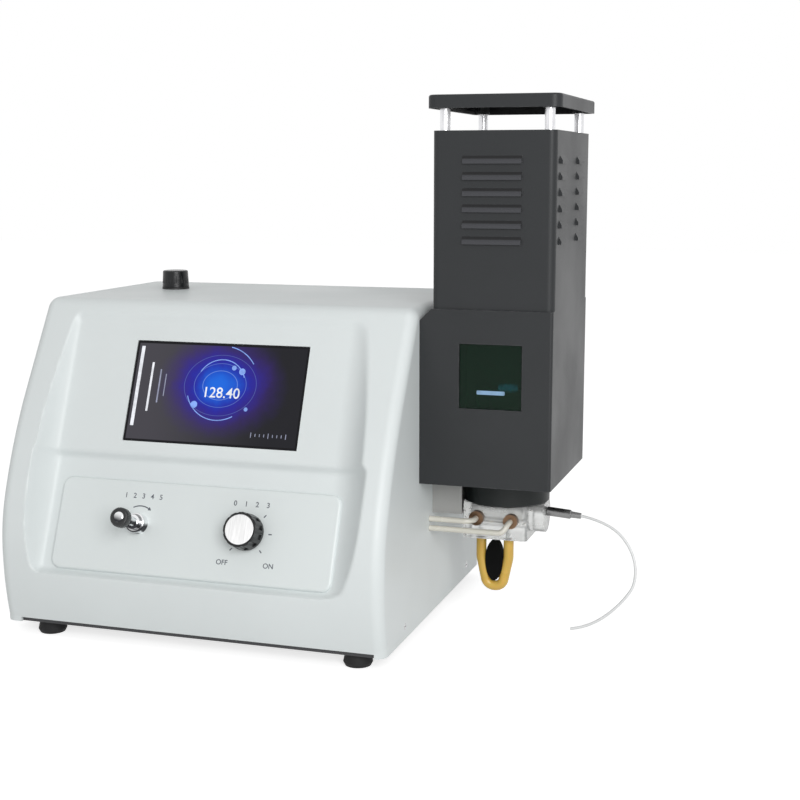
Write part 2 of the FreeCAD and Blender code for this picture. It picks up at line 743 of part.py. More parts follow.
def gas_needle():
    """Needle that travels along the bore as the spindle's thread turns on its stem."""
    seat = -FLOOR_DEPTH - WALL - VALVE_LEN + 13.5
    tip = cone(Vector(GAS_U, SPINDLE_V, seat), Z_AXIS, 0.8, NEEDLE_R, 2.5)
    stem = rod(Vector(GAS_U, SPINDLE_V, seat + 2.5), Z_AXIS, NEEDLE_R, 1.5)
    screw_end = rod(Vector(GAS_U, SPINDLE_V, seat + 4.0), Z_AXIS, 1.5, 9.0)
    return on_panel(join([tip, stem, screw_end]))


def panel_nuts():
    """The two nuts that clamp the control plate: a tall chromed one and a flat one under the knob."""
    tall = rod(Vector(GAS_U, SPINDLE_V, PLATE_TOP), Z_AXIS, GAS_NUT_R, GAS_NUT_T)
    rim = [edge for edge in tall.Edges if edge.BoundBox.ZMin > PLATE_TOP + GAS_NUT_T - 0.01]
    tall = tall.makeFillet(1.5, rim)
    tall = tall.cut(rod(Vector(GAS_U, SPINDLE_V, PLATE_TOP - 1.0), Z_AXIS, BUSH_R, GAS_NUT_T - 1.0))
    tall = tall.cut(rod(Vector(GAS_U, SPINDLE_V, PLATE_TOP - 1.0), Z_AXIS, SPINDLE_R + 0.3, GAS_NUT_T + 2.0))
    flat = ring(Vector(LPG_U, SPINDLE_V, PLATE_TOP), Z_AXIS, LPG_NUT_R, BUSH_R, LPG_NUT_T)
    return group([on_panel(tall.removeSplitter()), on_panel(flat)])


def gas_knob():
    """Chromed knob: a slim neck and a milled disc at its end."""
    base = PLATE_TOP + GAS_NUT_T + 0.4
    disc_low = PLATE_TOP + GAS_REACH - GAS_DISC_T
    neck = rod(Vector(GAS_U, SPINDLE_V, base), Z_AXIS, GAS_NECK_R, disc_low - base + 1.0)
    collar = rod(Vector(GAS_U, SPINDLE_V, base), Z_AXIS, GAS_NECK_R + 1.6, 4.0)
    shoulder = cone(Vector(GAS_U, SPINDLE_V, disc_low - 3.0), Z_AXIS, GAS_NECK_R, GAS_DISC_R - 1.0, 3.0)
    disc = rod(Vector(GAS_U, SPINDLE_V, disc_low), Z_AXIS, GAS_DISC_R, GAS_DISC_T)
    rims = [edge for edge in disc.Edges if edge.BoundBox.ZMin > disc_low + GAS_DISC_T - 0.01]
    disc = disc.makeFillet(GAS_DISC_EDGE_R, rims)
    knob = join([neck, collar, shoulder, disc])
    shaft_top = PLATE_TOP + GAS_REACH - 4.0
    bore = rod(Vector(GAS_U, SPINDLE_V, base - 1.0), Z_AXIS, SPINDLE_R, shaft_top - base + 1.0)
    return on_panel(knob.cut(bore))


# ---------------------------------------------------------------- gas supply switch valve
def lpg_valve_body():
    back = -FLOOR_DEPTH - WALL
    end = back - VALVE_LEN
    body = rod(Vector(LPG_U, SPINDLE_V, end), Z_AXIS, VALVE_R + 1.5, VALVE_LEN)
    bush_top = PLATE_TOP + LPG_NUT_T
    body = body.fuse(rod(Vector(LPG_U, SPINDLE_V, back - 1.0), Z_AXIS, BUSH_R, bush_top - back + 1.0))
    body = body.fuse(rod(Vector(LPG_U, SPINDLE_V, LINK_W), X_AXIS * -1.0, 4.5, VALVE_R + 6.0))
    cuts = [
        rod(Vector(LPG_U, SPINDLE_V, end + 6.0), Z_AXIS, PLUG_R + RUNNING, VALVE_LEN - 10.0),
        rod(Vector(LPG_U, SPINDLE_V, back - 8.0), Z_AXIS, SPINDLE_R + RUNNING, bush_top - back + 9.0),
        rod(Vector(LPG_U, SPINDLE_V, end - 1.0), Z_AXIS, PIPE_R, 10.0),
        rod(Vector(LPG_U - 6.0, SPINDLE_V, LINK_W), X_AXIS * -1.0, PIPE_R, VALVE_R + 2.0),
    ]
    return on_panel(cut_all(body, cuts))


def lpg_plug():
    """Plug that turns in the body; the stem slides in its keyed bore."""
    back = -FLOOR_DEPTH - WALL
    end = back - VALVE_LEN
    low = end + 6.3
    length = VALVE_LEN - 10.0 - 0.6
    plug = rod(Vector(LPG_U, SPINDLE_V, low), Z_AXIS, PLUG_R, length)
    bore = rod(Vector(LPG_U, SPINDLE_V, low + 6.0), Z_AXIS, SPINDLE_R + RUNNING, length)
    passage = rod(Vector(LPG_U, SPINDLE_V, low - 1.0), Z_AXIS, PIPE_R, 5.0)
    crossing = rod(Vector(LPG_U, SPINDLE_V, low + 3.0), X_AXIS * -1.0, 1.8, PLUG_R + 1.0)
    return on_panel(cut_all(plug, [bore, passage, crossing]))


def lpg_stem():
    back = -FLOOR_DEPTH - WALL
    low = back - VALVE_LEN + 6.3 + 6.0 + LPG_PUSH + 0.4
    high = PLATE_TOP + LPG_PUSH + 0.6 + LPG_KNOB_T - 4.0
    return on_panel(rod(Vector(LPG_U, SPINDLE_V, low), Z_AXIS, SPINDLE_R, high - low))


def lpg_knob():
    """Black fluted knob, hollow beneath so that it clears the nut when pushed."""
    base = PLATE_TOP + LPG_PUSH + 0.6
    knob = cone(Vector(LPG_U, SPINDLE_V, base), Z_AXIS, LPG_KNOB_R, LPG_KNOB_R - 0.8, LPG_KNOB_T)
    rims = [edge for edge in knob.Edges if edge.BoundBox.ZMin > base + LPG_KNOB_T - 0.01]
    knob = knob.makeFillet(1.0, rims)
    flutes = []
    reach = LPG_KNOB_R + LPG_FLUTE_R - LPG_FLUTE_DEPTH
    for index in range(LPG_FLUTES):
        turn = 2.0 * math.pi * (index + 0.5) / LPG_FLUTES
        centre = Vector(LPG_U + reach * math.cos(turn), SPINDLE_V + reach * math.sin(turn), base + 3.0)
        flutes.append(rod(centre, Z_AXIS, LPG_FLUTE_R, LPG_KNOB_T))
    knob = cut_all(knob, flutes)
    hollow = ring(Vector(LPG_U, SPINDLE_V, base - 1.0), Z_AXIS, LPG_KNOB_R - 2.6, SPINDLE_R + 2.0, 1.0 + 6.0)
    knob = knob.cut(hollow).cut(rod(Vector(LPG_U, SPINDLE_V, base - 1.0), Z_AXIS, LPG_NUT_R + 1.0, 1.0 + 2.2))
    knob = knob.cut(rod(Vector(LPG_U, SPINDLE_V, base - 1.0), Z_AXIS, SPINDLE_R, LPG_KNOB_T - 4.0 + 1.0))
    knob = knob.cut(rod(Vector(LPG_U, SPINDLE_V, base + LPG_KNOB_T - 0.6), Z_AXIS, LPG_CAP_R, 2.0))
    return on_panel(knob)


def lpg_knob_cap():
    low = PLATE_TOP + LPG_PUSH + 0.6 + LPG_KNOB_T - 0.6
    cap = rod(Vector(LPG_U, SPINDLE_V, low), Z_AXIS, LPG_CAP_R, LPG_CAP_T)
    rims = [edge for edge in cap.Edges if edge.BoundBox.ZMin > low + LPG_CAP_T - 0.01]
    return on_panel(cap.makeChamfer(0.4, rims))


# ---------------------------------------------------------------- air regulator
def regulator_body():
    top = CASE_TOP - WALL
    low = top - REG_BODY_H
    body = rod(Vector(REG_X, REG_Y, low), Z_AXIS, REG_BODY_R, REG_BODY_H)
    body = body.fuse(rod(Vector(REG_X, REG_Y, top - 1.0), Z_AXIS, REG_NECK_R, 1.0 + WALL + REG_RING_T))
    body = body.fuse(rod(Vector(REG_X, REG_Y, up(REG_PORT_Z)), Y_AXIS, 6.0, REG_BODY_R + 4.0))
    body = body.fuse(rod(Vector(REG_X, REG_Y, up(REG_PORT_Z)), Y_AXIS * -1.0, 6.0, REG_BODY_R + 4.0))
    cuts = [
        rod(Vector(REG_X, REG_Y, top - 30.0), Z_AXIS, 4.0 + RUNNING, 60.0),
        rod(Vector(REG_X, REG_Y + REG_BODY_R - 6.0, up(REG_PORT_Z)), Y_AXIS, PIPE_R, 20.0),
        rod(Vector(REG_X, REG_Y - REG_BODY_R + 6.0, up(REG_PORT_Z)), Y_AXIS * -1.0, PIPE_R, 20.0),
    ]
    return cut_all(body, cuts)


def regulator_ring():
    return ring(Vector(REG_X, REG_Y, CASE_TOP), Z_AXIS, REG_RING_R, REG_NECK_R, REG_RING_T)


def regulator_screw():
    """Adjusting screw: it turns in the body and guides the knob, which lifts on it to unlock."""
    below = WALL + 24.0
    above = REG_RING_T + REG_KNOB_H - 7.0
    return rod(Vector(REG_X, REG_Y, CASE_TOP - below), Z_AXIS, 4.0, below + above)


def regulator_knob():
    base = CASE_TOP + REG_RING_T + 0.4
    knob = cone(Vector(REG_X, REG_Y, base), Z_AXIS, REG_KNOB_R, REG_KNOB_R - 0.7, REG_KNOB_H)
    rims = [edge for edge in knob.Edges if edge.BoundBox.ZMin > base + REG_KNOB_H - 0.01]
    knob = knob.makeFillet(1.6, rims)
    count = 30
    grooves = []
    for index in range(count):
        turn = 2.0 * math.pi * index / count
        reach = REG_KNOB_R + 0.5
        centre = Vector(REG_X + reach * math.cos(turn), REG_Y + reach * math.sin(turn), base + 3.5)
        grooves.append(rod(centre, Z_AXIS, 1.0, REG_KNOB_H))
    knob = cut_all(knob, grooves)
    return knob.cut(rod(Vector(REG_X, REG_Y, base - 1.0), Z_AXIS, 4.0 + RUNNING, 1.0 + REG_KNOB_H - 4.0))


# ---------------------------------------------------------------- burner tower
def burner_housing():
    z0 = up(HOUSING_LOW)
    z1 = up(HOUSING_HIGH)
    outer = box(HOUSING_X0, HOUSING_X1, HOUSING_Y0, HOUSING_Y1, z0, z1)
    corner = edges_near(outer, Vector(HOUSING_X0, (HOUSING_Y0 + HOUSING_Y1) / 2.0, z1))
    outer = outer.makeChamfer(HOUSING_CHAMFER, corner)
    uprights = [edge for edge in outer.Edges
                if edge.BoundBox.ZLength > HOUSING_CHAMFER * 3.0 and edge.BoundBox.XMin > HOUSING_X1 - 1.0]
    outer = outer.makeFillet(2.5, uprights)
    inner = box(HOUSING_X0 + SHEET, HOUSING_X1 - SHEET, HOUSING_Y0 + SHEET, HOUSING_Y1 - SHEET,
                z0 + SHEET, z1 - SHEET)
    corner = edges_near(inner, Vector(HOUSING_X0 + SHEET, (HOUSING_Y0 + HOUSING_Y1) / 2.0, z1 - SHEET))
    inner = inner.makeChamfer(HOUSING_CHAMFER - 0.6 * SHEET, corner)
    half_w = WINDOW_W / 2.0
    half_h = WINDOW_H / 2.0
    skirt = SHEET + 1.5
    cuts = [
        inner,
        box(WINDOW_X - half_w, WINDOW_X + half_w, HOUSING_Y0 - 1.0, HOUSING_Y0 + 10.0,
            up(WINDOW_Z) - half_h, up(WINDOW_Z) + half_h),
        box(CHIMNEY_X0 + skirt, HOUSING_X1 - skirt, CHIMNEY_Y0 + skirt, HOUSING_Y1 - skirt,
            z1 - 5.0, z1 + 5.0),
        rod(Vector(BURNER_X, BURNER_Y, z0 - 1.0), Z_AXIS, BASE_R + 0.1, 10.0),
        rod(Vector(HOUSING_X0 - 1.0, BURNER_Y, up(OPTIC_Z)), X_AXIS, 11.0, 10.0),
        rod(Vector(HOUSING_X0 - 1.0, LEAD_Y, up(LEAD_Z)), X_AXIS, LEAD_R + 0.3, 10.0),
    ]
    for point, direction in housing_screw_places():
        cuts.append(screw(point, direction))
    return cut_all(outer, cuts)


def window_glass():
    half_w = WINDOW_W / 2.0 + WINDOW_LAP
    half_h = WINDOW_H / 2.0 + WINDOW_LAP
    y0 = HOUSING_Y0 + SHEET
    return box(WINDOW_X - half_w, WINDOW_X + half_w, y0, y0 + WINDOW_GLASS_T, up(WINDOW_Z) - half_h,
               up(WINDOW_Z) + half_h)


def strip(outline, x0, x1):
    """Bar from x0 to x1 whose section is the closed outline of y, z points."""
    points = [Vector(x0, y, z) for y, z in outline + outline[:1]]
    return Part.Face(Part.makePolygon(points)).extrude(X_AXIS * (x1 - x0))


def louvre(width):
    """One pressed louvre on a wall in the plane y = 0, opening downwards, and its slot."""
    half = width / 2.0
    skin = LOUVRE_SKIN
    outside = ((0.2, LOUVRE_H), (-LOUVRE_OUT, LOUVRE_H * 0.35), (-LOUVRE_OUT, 0.0), (0.2, 0.0))
    inside = ((0.3, LOUVRE_H - 1.6 * skin), (skin - LOUVRE_OUT, LOUVRE_H * 0.33), (skin - LOUVRE_OUT, -1.0),
              (0.3, -1.0))
    hood = strip(outside, -half, half)
    room = strip(inside, skin - half, half - skin)
    slot = box(-half + 2.0, half - 2.0, -1.0, 5.0, 0.3, 3.6)
    return hood.cut(room), slot


def louvre_bank(width, origin, turn):
    """The louvres of one face, as hoods to add and slots to cut."""
    hoods = []
    slots = []
    for index in range(LOUVRE_COUNT):
        hood, slot = louvre(width)
        for shape, store in ((hood, hoods), (slot, slots)):
            shape.rotate(Vector(0, 0, 0), Z_AXIS, turn)
            shape.translate(origin - Z_AXIS * (LOUVRE_PITCH * index + LOUVRE_H))
            store.append(shape)
    return hoods, slots


def chimney():
    z0 = up(HOUSING_HIGH)
    z1 = up(CHIMNEY_HIGH)
    outer = box(CHIMNEY_X0, HOUSING_X1, CHIMNEY_Y0, HOUSING_Y1, z0, z1)
    uprights = [edge for edge in outer.Edges if edge.BoundBox.ZLength > 50.0]
    outer = outer.makeFillet(CHIMNEY_EDGE_R, uprights)
    inner = box(CHIMNEY_X0 + SHEET, HOUSING_X1 - SHEET, CHIMNEY_Y0 + SHEET, HOUSING_Y1 - SHEET,
                z0 - 1.0, z1 - SHEET)
    uprights = [edge for edge in inner.Edges if edge.BoundBox.ZLength > 50.0]
    inner = inner.makeFillet(CHIMNEY_EDGE_R - SHEET, uprights)
    vent = box(CHIMNEY_X0 + RIM_W, HOUSING_X1 - RIM_W, CHIMNEY_Y0 + RIM_W, HOUSING_Y1 - RIM_W,
               z1 - 10.0, z1 + 5.0)
    shell = outer.cut(inner).cut(vent)
    out = SHEET + 2.0
    skirt_outer = box(CHIMNEY_X0 + out, HOUSING_X1 - out, CHIMNEY_Y0 + out, HOUSING_Y1 - out,
                      z0 - CHIMNEY_SKIRT, z0 + 2.0)
    inside = out + 1.5
    skirt_inner = box(CHIMNEY_X0 + inside, HOUSING_X1 - inside, CHIMNEY_Y0 + inside, HOUSING_Y1 - inside,
                      z0 - CHIMNEY_SKIRT - 1.0, z0 + 3.0)
    ledge = box(CHIMNEY_X0 + 1.0, HOUSING_X1 - 1.0, CHIMNEY_Y0 + 1.0, HOUSING_Y1 - 1.0, z0 + 0.2, z0 + 2.0)
    ledge = ledge.common(outer).cut(skirt_inner)
    shell = join([shell, skirt_outer.cut(skirt_inner), ledge])
    front = Vector((CHIMNEY_X0 + HOUSING_X1) / 2.0 - 1.0, CHIMNEY_Y0, up(LOUVRE_TOP))
    hoods, slots = louvre_bank(LOUVRE_FRONT_W, front, 0.0)
    for place in (LOUVRE_SIDE_FRONT, LOUVRE_SIDE_BACK):
        side = Vector(HOUSING_X1, CHIMNEY_Y0 + place, up(LOUVRE_TOP))
        side_hoods, side_slots = louvre_bank(LOUVRE_SIDE_W, side, 90.0)
        hoods += side_hoods
        slots += side_slots
    shell = cut_all(shell, slots)
    shell = join([shell] + hoods)
    holes = [rod(Vector(x, y, z1 - 8.0), Z_AXIS, SCREW_R, 20.0) for x, y in post_places()]
    return cut_all(shell, holes)


def post_places():
    xs = (CHIMNEY_X0 + POST_SIDE_INSET, HOUSING_X1 - POST_SIDE_INSET)
    ys = (CHIMNEY_Y0 + POST_END_INSET, HOUSING_Y1 - POST_END_INSET)
    return [(x, y) for x in xs for y in ys]


def chimney_posts():
    z0 = up(CHIMNEY_HIGH)
    z1 = up(PLATE_Z0)
    posts = []
    for x, y in post_places():
        post = ring(Vector(x, y, z0), Z_AXIS, POST_R, SCREW_R, z1 - z0)
        posts.append(post)
    return group(posts)


def chimney_cap():
    z0 = up(PLATE_Z0)
    low_x = CHIMNEY_X0 - CAP_OVERHANG
    high_x = HOUSING_X1 + CAP_OVERHANG
    low_y = CHIMNEY_Y0 - CAP_OVERHANG
    high_y = HOUSING_Y1 + CAP_OVERHANG + 2.0
    cap = rounded_slab(low_x, high_x, low_y, high_y, z0, z0 + CAP_T, CAP_R)
    cap = cap.makeFillet(2.0, [edge for edge in cap.Edges if edge.BoundBox.ZMin > z0 + CAP_T - 0.01])
    hollow = rounded_slab(low_x + SHEET, high_x - SHEET, low_y + SHEET, high_y - SHEET,
                          z0 - 1.0, z0 + CAP_T - SHEET, CAP_R - SHEET)
    cap = cap.cut(hollow)
    bosses = [rod(Vector(x, y, z0), Z_AXIS, POST_R + 1.5, CAP_T - 1.0) for x, y in post_places()]
    cap = join([cap] + bosses)
    holes = [screw(Vector(x, y, z0 + CAP_T), Z_AXIS * -1.0) for x, y in post_places()]
    holes += [rod(Vector(x, y, z0 - 1.0), Z_AXIS, SCREW_R, CAP_T) for x, y in post_places()]
    return cut_all(cap, holes)


def cap_screws():
    """Long screws through the cap, the posts and the chimney's rim."""
    z1 = up(PLATE_Z0) + CAP_T
    length = CAP_T + POST_GAP + SHEET + 3.0
    pieces = []
    for x, y in post_places():
        long_shank = rod(Vector(x, y, z1), Z_AXIS * -1.0, SCREW_R, length)
        piece = screw(Vector(x, y, z1), Z_AXIS * -1.0).fuse(long_shank).removeSplitter()
        pieces.append(piece.cut(box(x - 2.2, x + 2.2, y - 0.4, y + 0.4, z1 - 0.8, z1 + 1.0)))
    return group(pieces)


# ---------------------------------------------------------------- burner
def burner_base():
    z0 = up(BASE_LOW)
    z1 = up(HOUSING_LOW) + BASE_PROUD
    base = rod(Vector(BURNER_X, BURNER_Y, z0), Z_AXIS, BASE_R, z1 - z0)
    rims = [edge for edge in base.Edges if edge.BoundBox.ZMax < z0 + 0.01]
    base = base.makeChamfer(1.2, rims)
    return base.cut(rod(Vector(BURNER_X, BURNER_Y, z0 - 1.0), Z_AXIS, BURNER_STEM_R, z1 - z0 + 2.0))


def burner_head():
    """Stem and drilled head on which the flame stands."""
    z0 = up(BASE_LOW)
    top = up(BURNER_HEAD_TOP)
    head_low = top - 24.0
    stem = rod(Vector(BURNER_X, BURNER_Y, z0), Z_AXIS, BURNER_STEM_R, head_low - z0)
    neck = cone(Vector(BURNER_X, BURNER_Y, head_low - 10.0), Z_AXIS, BURNER_STEM_R, BURNER_HEAD_R, 10.0)
    head = rod(Vector(BURNER_X, BURNER_Y, head_low), Z_AXIS, BURNER_HEAD_R, top - head_low)
    burner = join([stem, neck, head])
    cuts = [rod(Vector(BURNER_X, BURNER_Y, z0 - 1.0), Z_AXIS, BURNER_STEM_R - 2.5, top - z0 - 5.0)]
    ring_counts = ((0.0, 1), (4.0, 6), (8.0, 12), (12.0, 18))
    for radius, count in ring_counts:
        for index in range(count):
            turn = 2.0 * math.pi * index / count
            place = Vector(BURNER_X + radius * math.cos(turn), BURNER_Y + radius * math.sin(turn), top - 3.0)
            cuts.append(rod(place, Z_AXIS, 0.9, 5.0))
    chamber = rod(Vector(BURNER_X, BURNER_Y, head_low), Z_AXIS, BURNER_HEAD_R - 3.0, top - head_low - 2.5)
    return cut_all(burner, cuts + [chamber])


def burner_bracket():
    """Box arm on the case's side that carries the burner base."""
    x1 = BURNER_X - BASE_R + 6.0
    y0 = BURNER_Y - ARM_W / 2.0
    y1 = BURNER_Y + ARM_W / 2.0
    z0 = up(ARM_LOW)
    z1 = up(HOUSING_LOW)
    arm = box(CASE_W, x1, y0, y1, z0, z1)
    hollow = box(CASE_W + SHEET, x1 + 1.0, y0 + SHEET, y1 - SHEET, z0 + SHEET, z1 - SHEET)
    arm = arm.cut(hollow)
    clear = rod(Vector(BURNER_X, BURNER_Y, z0 - 5.0), Z_AXIS, BASE_R, z1 - z0 + 10.0)
    return arm.cut(clear).cut(chamber_block(0.5))


# ---------------------------------------------------------------- mixing chamber and nebuliser
def chamber_block(spread):
    return box(CHAMBER_X0 - spread, CHAMBER_X1 + spread, BURNER_Y - CHAMBER_HALF_D - spread,
               BURNER_Y + CHAMBER_HALF_D + spread, up(CHAMBER_LOW) - spread, up(BASE_LOW))


def mixing_chamber():
    block = chamber_block(0.0)
    uprights = [edge for edge in block.Edges if edge.BoundBox.ZLength > 10.0]
    block = block.makeFillet(4.0, uprights)
    axis_z = up(CHAMBER_AXIS)
    boss = rod(Vector(CHAMBER_X1 - 1.0, BURNER_Y, axis_z), X_AXIS, BOSS_R, BOSS_T + 1.0)
    below_base = box(CHAMBER_X1 - 2.0, CHAMBER_X1 + BOSS_T + 1.0, 0.0, CASE_D, 0.0, up(BASE_LOW) - 0.4)
    boss = boss.common(below_base)
    spigots = [rod(Vector(DRAIN_X + side * DRAIN_HALF, DRAIN_Y, up(CHAMBER_LOW) - SPIGOT_DROP), Z_AXIS,
                   DRAIN_R - 1.2, SPIGOT_DROP + 1.0) for side in (-1.0, 1.0)]
    block = join([block, boss] + spigots)
    cuts = [
        rod(Vector(CHAMBER_X0 + 6.0, BURNER_Y, axis_z), X_AXIS, CHAMBER_BORE_R,
            CHAMBER_X1 - CHAMBER_X0 - 12.0),
        rod(Vector(BURNER_X, BURNER_Y, axis_z), Z_AXIS, BURNER_STEM_R - 2.5, 40.0),
        nebuliser_core(0.0),
    ]
    for side in (-1.0, 1.0):
        spigot_low = up(CHAMBER_LOW) - SPIGOT_DROP
        mouth = Vector(DRAIN_X + side * DRAIN_HALF, DRAIN_Y, spigot_low - 1.0)
        cuts.append(rod(mouth, Z_AXIS, 1.8, 22.0))
    for x, z in zip(RING_X, (GAS_PIPE_Z, RING_LOW_Z)):
        cuts.append(rod(Vector(x, BURNER_Y - CHAMBER_HALF_D - 1.0, up(z)), Y_AXIS, PIPE_R, 20.0))
    return cut_all(block, cuts)


def chamber_fittings():
    """Two ring nuts on the front of the chamber that hold the gas and air pipes."""
    pieces = []
    y0 = BURNER_Y - CHAMBER_HALF_D - RING_T
    for x, z in zip(RING_X, (GAS_PIPE_Z, RING_LOW_Z)):
        nut = ring(Vector(x, y0, up(z)), Y_AXIS, RING_R, PIPE_R, RING_T)
        pieces.append(nut)
    return group(pieces)


def nebuliser_axis():
    drop = math.radians(NEB_DROP)
    return Vector(math.cos(drop), 0.0, -math.sin(drop))


def nebuliser_start():
    return Vector(CHAMBER_X1 + BOSS_T, BURNER_Y, up(CHAMBER_AXIS + NEB_RISE))


def nebuliser_core(proud):
    axis = nebuliser_axis()
    inside = 22.0
    return rod(nebuliser_start() - axis * inside, axis, 3.0, inside + proud)


def nebuliser_tip():
    return nebuliser_start() + nebuliser_axis() * (NEB_LEN + NEB_TIP_LEN)


def nebuliser():
    axis = nebuliser_axis()
    start = nebuliser_start()
    body = rod(start + axis * 0.2, axis, NEB_R, NEB_LEN - 0.2)
    rims = [edge for edge in body.Edges if edge.Length > 2.0 * math.pi * NEB_R - 0.1]
    body = body.makeChamfer(0.6, rims)
    tip = cone(start + axis * (NEB_LEN - 1.0), axis, NEB_TIP_R + 0.4, NEB_TIP_R, NEB_TIP_LEN + 1.0)
    whole = join([nebuliser_core(1.0), body, tip])
    return whole.cut(rod(start - axis * 30.0, axis, 0.7, 28.0 + NEB_LEN))


def drain_route():
    low = up(DRAIN_LOW)
    top = up(CHAMBER_LOW)
    turn = up(DRAIN_TURN)
    left = DRAIN_X - DRAIN_HALF
    right = DRAIN_X + DRAIN_HALF
    foot = DRAIN_HALF * 0.55
    return [(left, DRAIN_Y, top), (left, DRAIN_Y, turn), (DRAIN_X - foot, DRAIN_Y, low),
            (DRAIN_X + foot, DRAIN_Y, low), (right, DRAIN_Y, turn), (right, DRAIN_Y, top)]


def drain_tube():
    outer = pipe(drain_route(), DRAIN_R, 14.0)
    sockets = []
    for side in (-1.0, 1.0):
        low = Vector(DRAIN_X + side * DRAIN_HALF, DRAIN_Y, up(CHAMBER_LOW) - SPIGOT_DROP)
        sockets.append(rod(low, Z_AXIS,
                           DRAIN_R - 1.2, SPIGOT_DROP + 1.0))
    return cut_all(outer, sockets)


def drain_former():
    """Flat oval core that keeps the drain tube's bend open."""
    half = DRAIN_HALF - DRAIN_R - 0.1
    low = up(DRAIN_LOW) + DRAIN_R + 1.2
    top = up(CHAMBER_LOW) - 2.0
    y0 = DRAIN_Y - FORMER_T / 2.0
    centre = Vector(DRAIN_X, y0, (low + top) / 2.0)
    oval = Part.Ellipse(centre + Z_AXIS * ((top - low) / 2.0), centre + X_AXIS * half, centre).toShape()
    core = Part.Face(Part.Wire([oval])).extrude(Y_AXIS * FORMER_T)
    return core.cut(pipe(drain_route(), DRAIN_R + 0.1, 14.0))


# the sample capillary hangs free from the nebuliser, sweeps out, down and back towards the bench
CAPILLARY_ROUTE = [
    (488.9, 173.5, 101.0),
    (505.7, 170.5, 96.2),
    (516.9, 167.5, 89.6),
    (526.0, 164.5, 79.1),
    (531.6, 161.5, 66.2),
    (532.5, 158.5, 51.5),
    (528.8, 155.5, 41.5),
    (516.6, 152.5, 26.7),
    (503.0, 149.5, 15.4),
    (488.1, 146.5, 8.4),
    (478.2, 145.0, 6.8),
]


def capillary_points():
    tip = nebuliser_tip()
    return [(tip.x, tip.y, tip.z)] + CAPILLARY_ROUTE


def sample_capillary():
    tube, length, radii = bent_tube(capillary_points(), CAPILLARY_R, None)
    share = tube.Volume / (math.pi * CAPILLARY_R ** 2 * length)
    print("capillary length %.1f mm, volume / (section x length) %.4f" % (length, share))
    print("capillary bend radii:", ", ".join("%.1f" % radius for radius in radii))
    return tube


# ---------------------------------------------------------------- pipes, valves and boards inside
def board_corners():
    return [(x, y) for x in (BOARD_X0 + 6.0, BOARD_X1 - 6.0) for y in (BOARD_Y0 + 6.0, BOARD_Y1 - 6.0)]


def main_board():
    """Circuit board on the tray's standoffs, with its larger parts."""
    z0 = FLOOR_Z + BOARD_RISE
    z1 = z0 + BOARD_T
    middle = (BOARD_X0 + BOARD_X1) / 2.0
    parts = [
        box(BOARD_X0, BOARD_X1, BOARD_Y0, BOARD_Y1, z0, z1),
        box(BOARD_X0 + 24.0, BOARD_X0 + 48.0, BOARD_Y0 + 34.0, BOARD_Y0 + 58.0, z1 - 0.1, z1 + 2.5),
        box(middle - 6.0, middle + 6.0, BOARD_Y0 + 44.0, BOARD_Y0 + 64.0, z1 - 0.1, z1 + 3.0),
        box(BOARD_X1 - 42.0, BOARD_X1 - 14.0, BOARD_Y0 + 14.0, BOARD_Y0 + 26.0, z1 - 0.1, z1 + 11.0),
        box(BOARD_X0 + 14.0, BOARD_X0 + 54.0, BOARD_Y1 - 18.0, BOARD_Y1 - 9.0, z1 - 0.1, z1 + 9.0),
    ]
    for index in range(3):
        x = BOARD_X1 - 30.0 - 14.0 * index
        parts.append(rod(Vector(x, BOARD_Y1 - 26.0, z1 - 0.1), Z_AXIS, 5.0, 13.0))
    return join(parts)


def power_supply():
    """Enclosed supply on the tray, with its terminal block."""
    y0 = SUPPLY_Y1 - SUPPLY_D
    case = box(SUPPLY_X0, SUPPLY_X1, y0, SUPPLY_Y1, FLOOR_Z, FLOOR_Z + SUPPLY_H)
    notch = box(SUPPLY_X0 - 1.0, SUPPLY_X1 + 1.0, SUPPLY_Y1 - 12.0, SUPPLY_Y1 + 1.0, FLOOR_Z + 14.0,
                FLOOR_Z + SUPPLY_H + 1.0)
    terminals = box(SUPPLY_X0 + 8.0, SUPPLY_X1 - 8.0, SUPPLY_Y1 - 13.0, SUPPLY_Y1 - 1.0, FLOOR_Z + 12.0,
                    FLOOR_Z + 26.0)
    slits = []
    for index in range(7):
        x = SUPPLY_X0 + 14.0 + 12.0 * index
        slits.append(box(x, x + 4.0, y0 + 18.0, SUPPLY_Y1 - 32.0,
                         FLOOR_Z + SUPPLY_H - 2.0, FLOOR_Z + SUPPLY_H + 1.0))
    return cut_all(join([case.cut(notch), terminals]), slits)


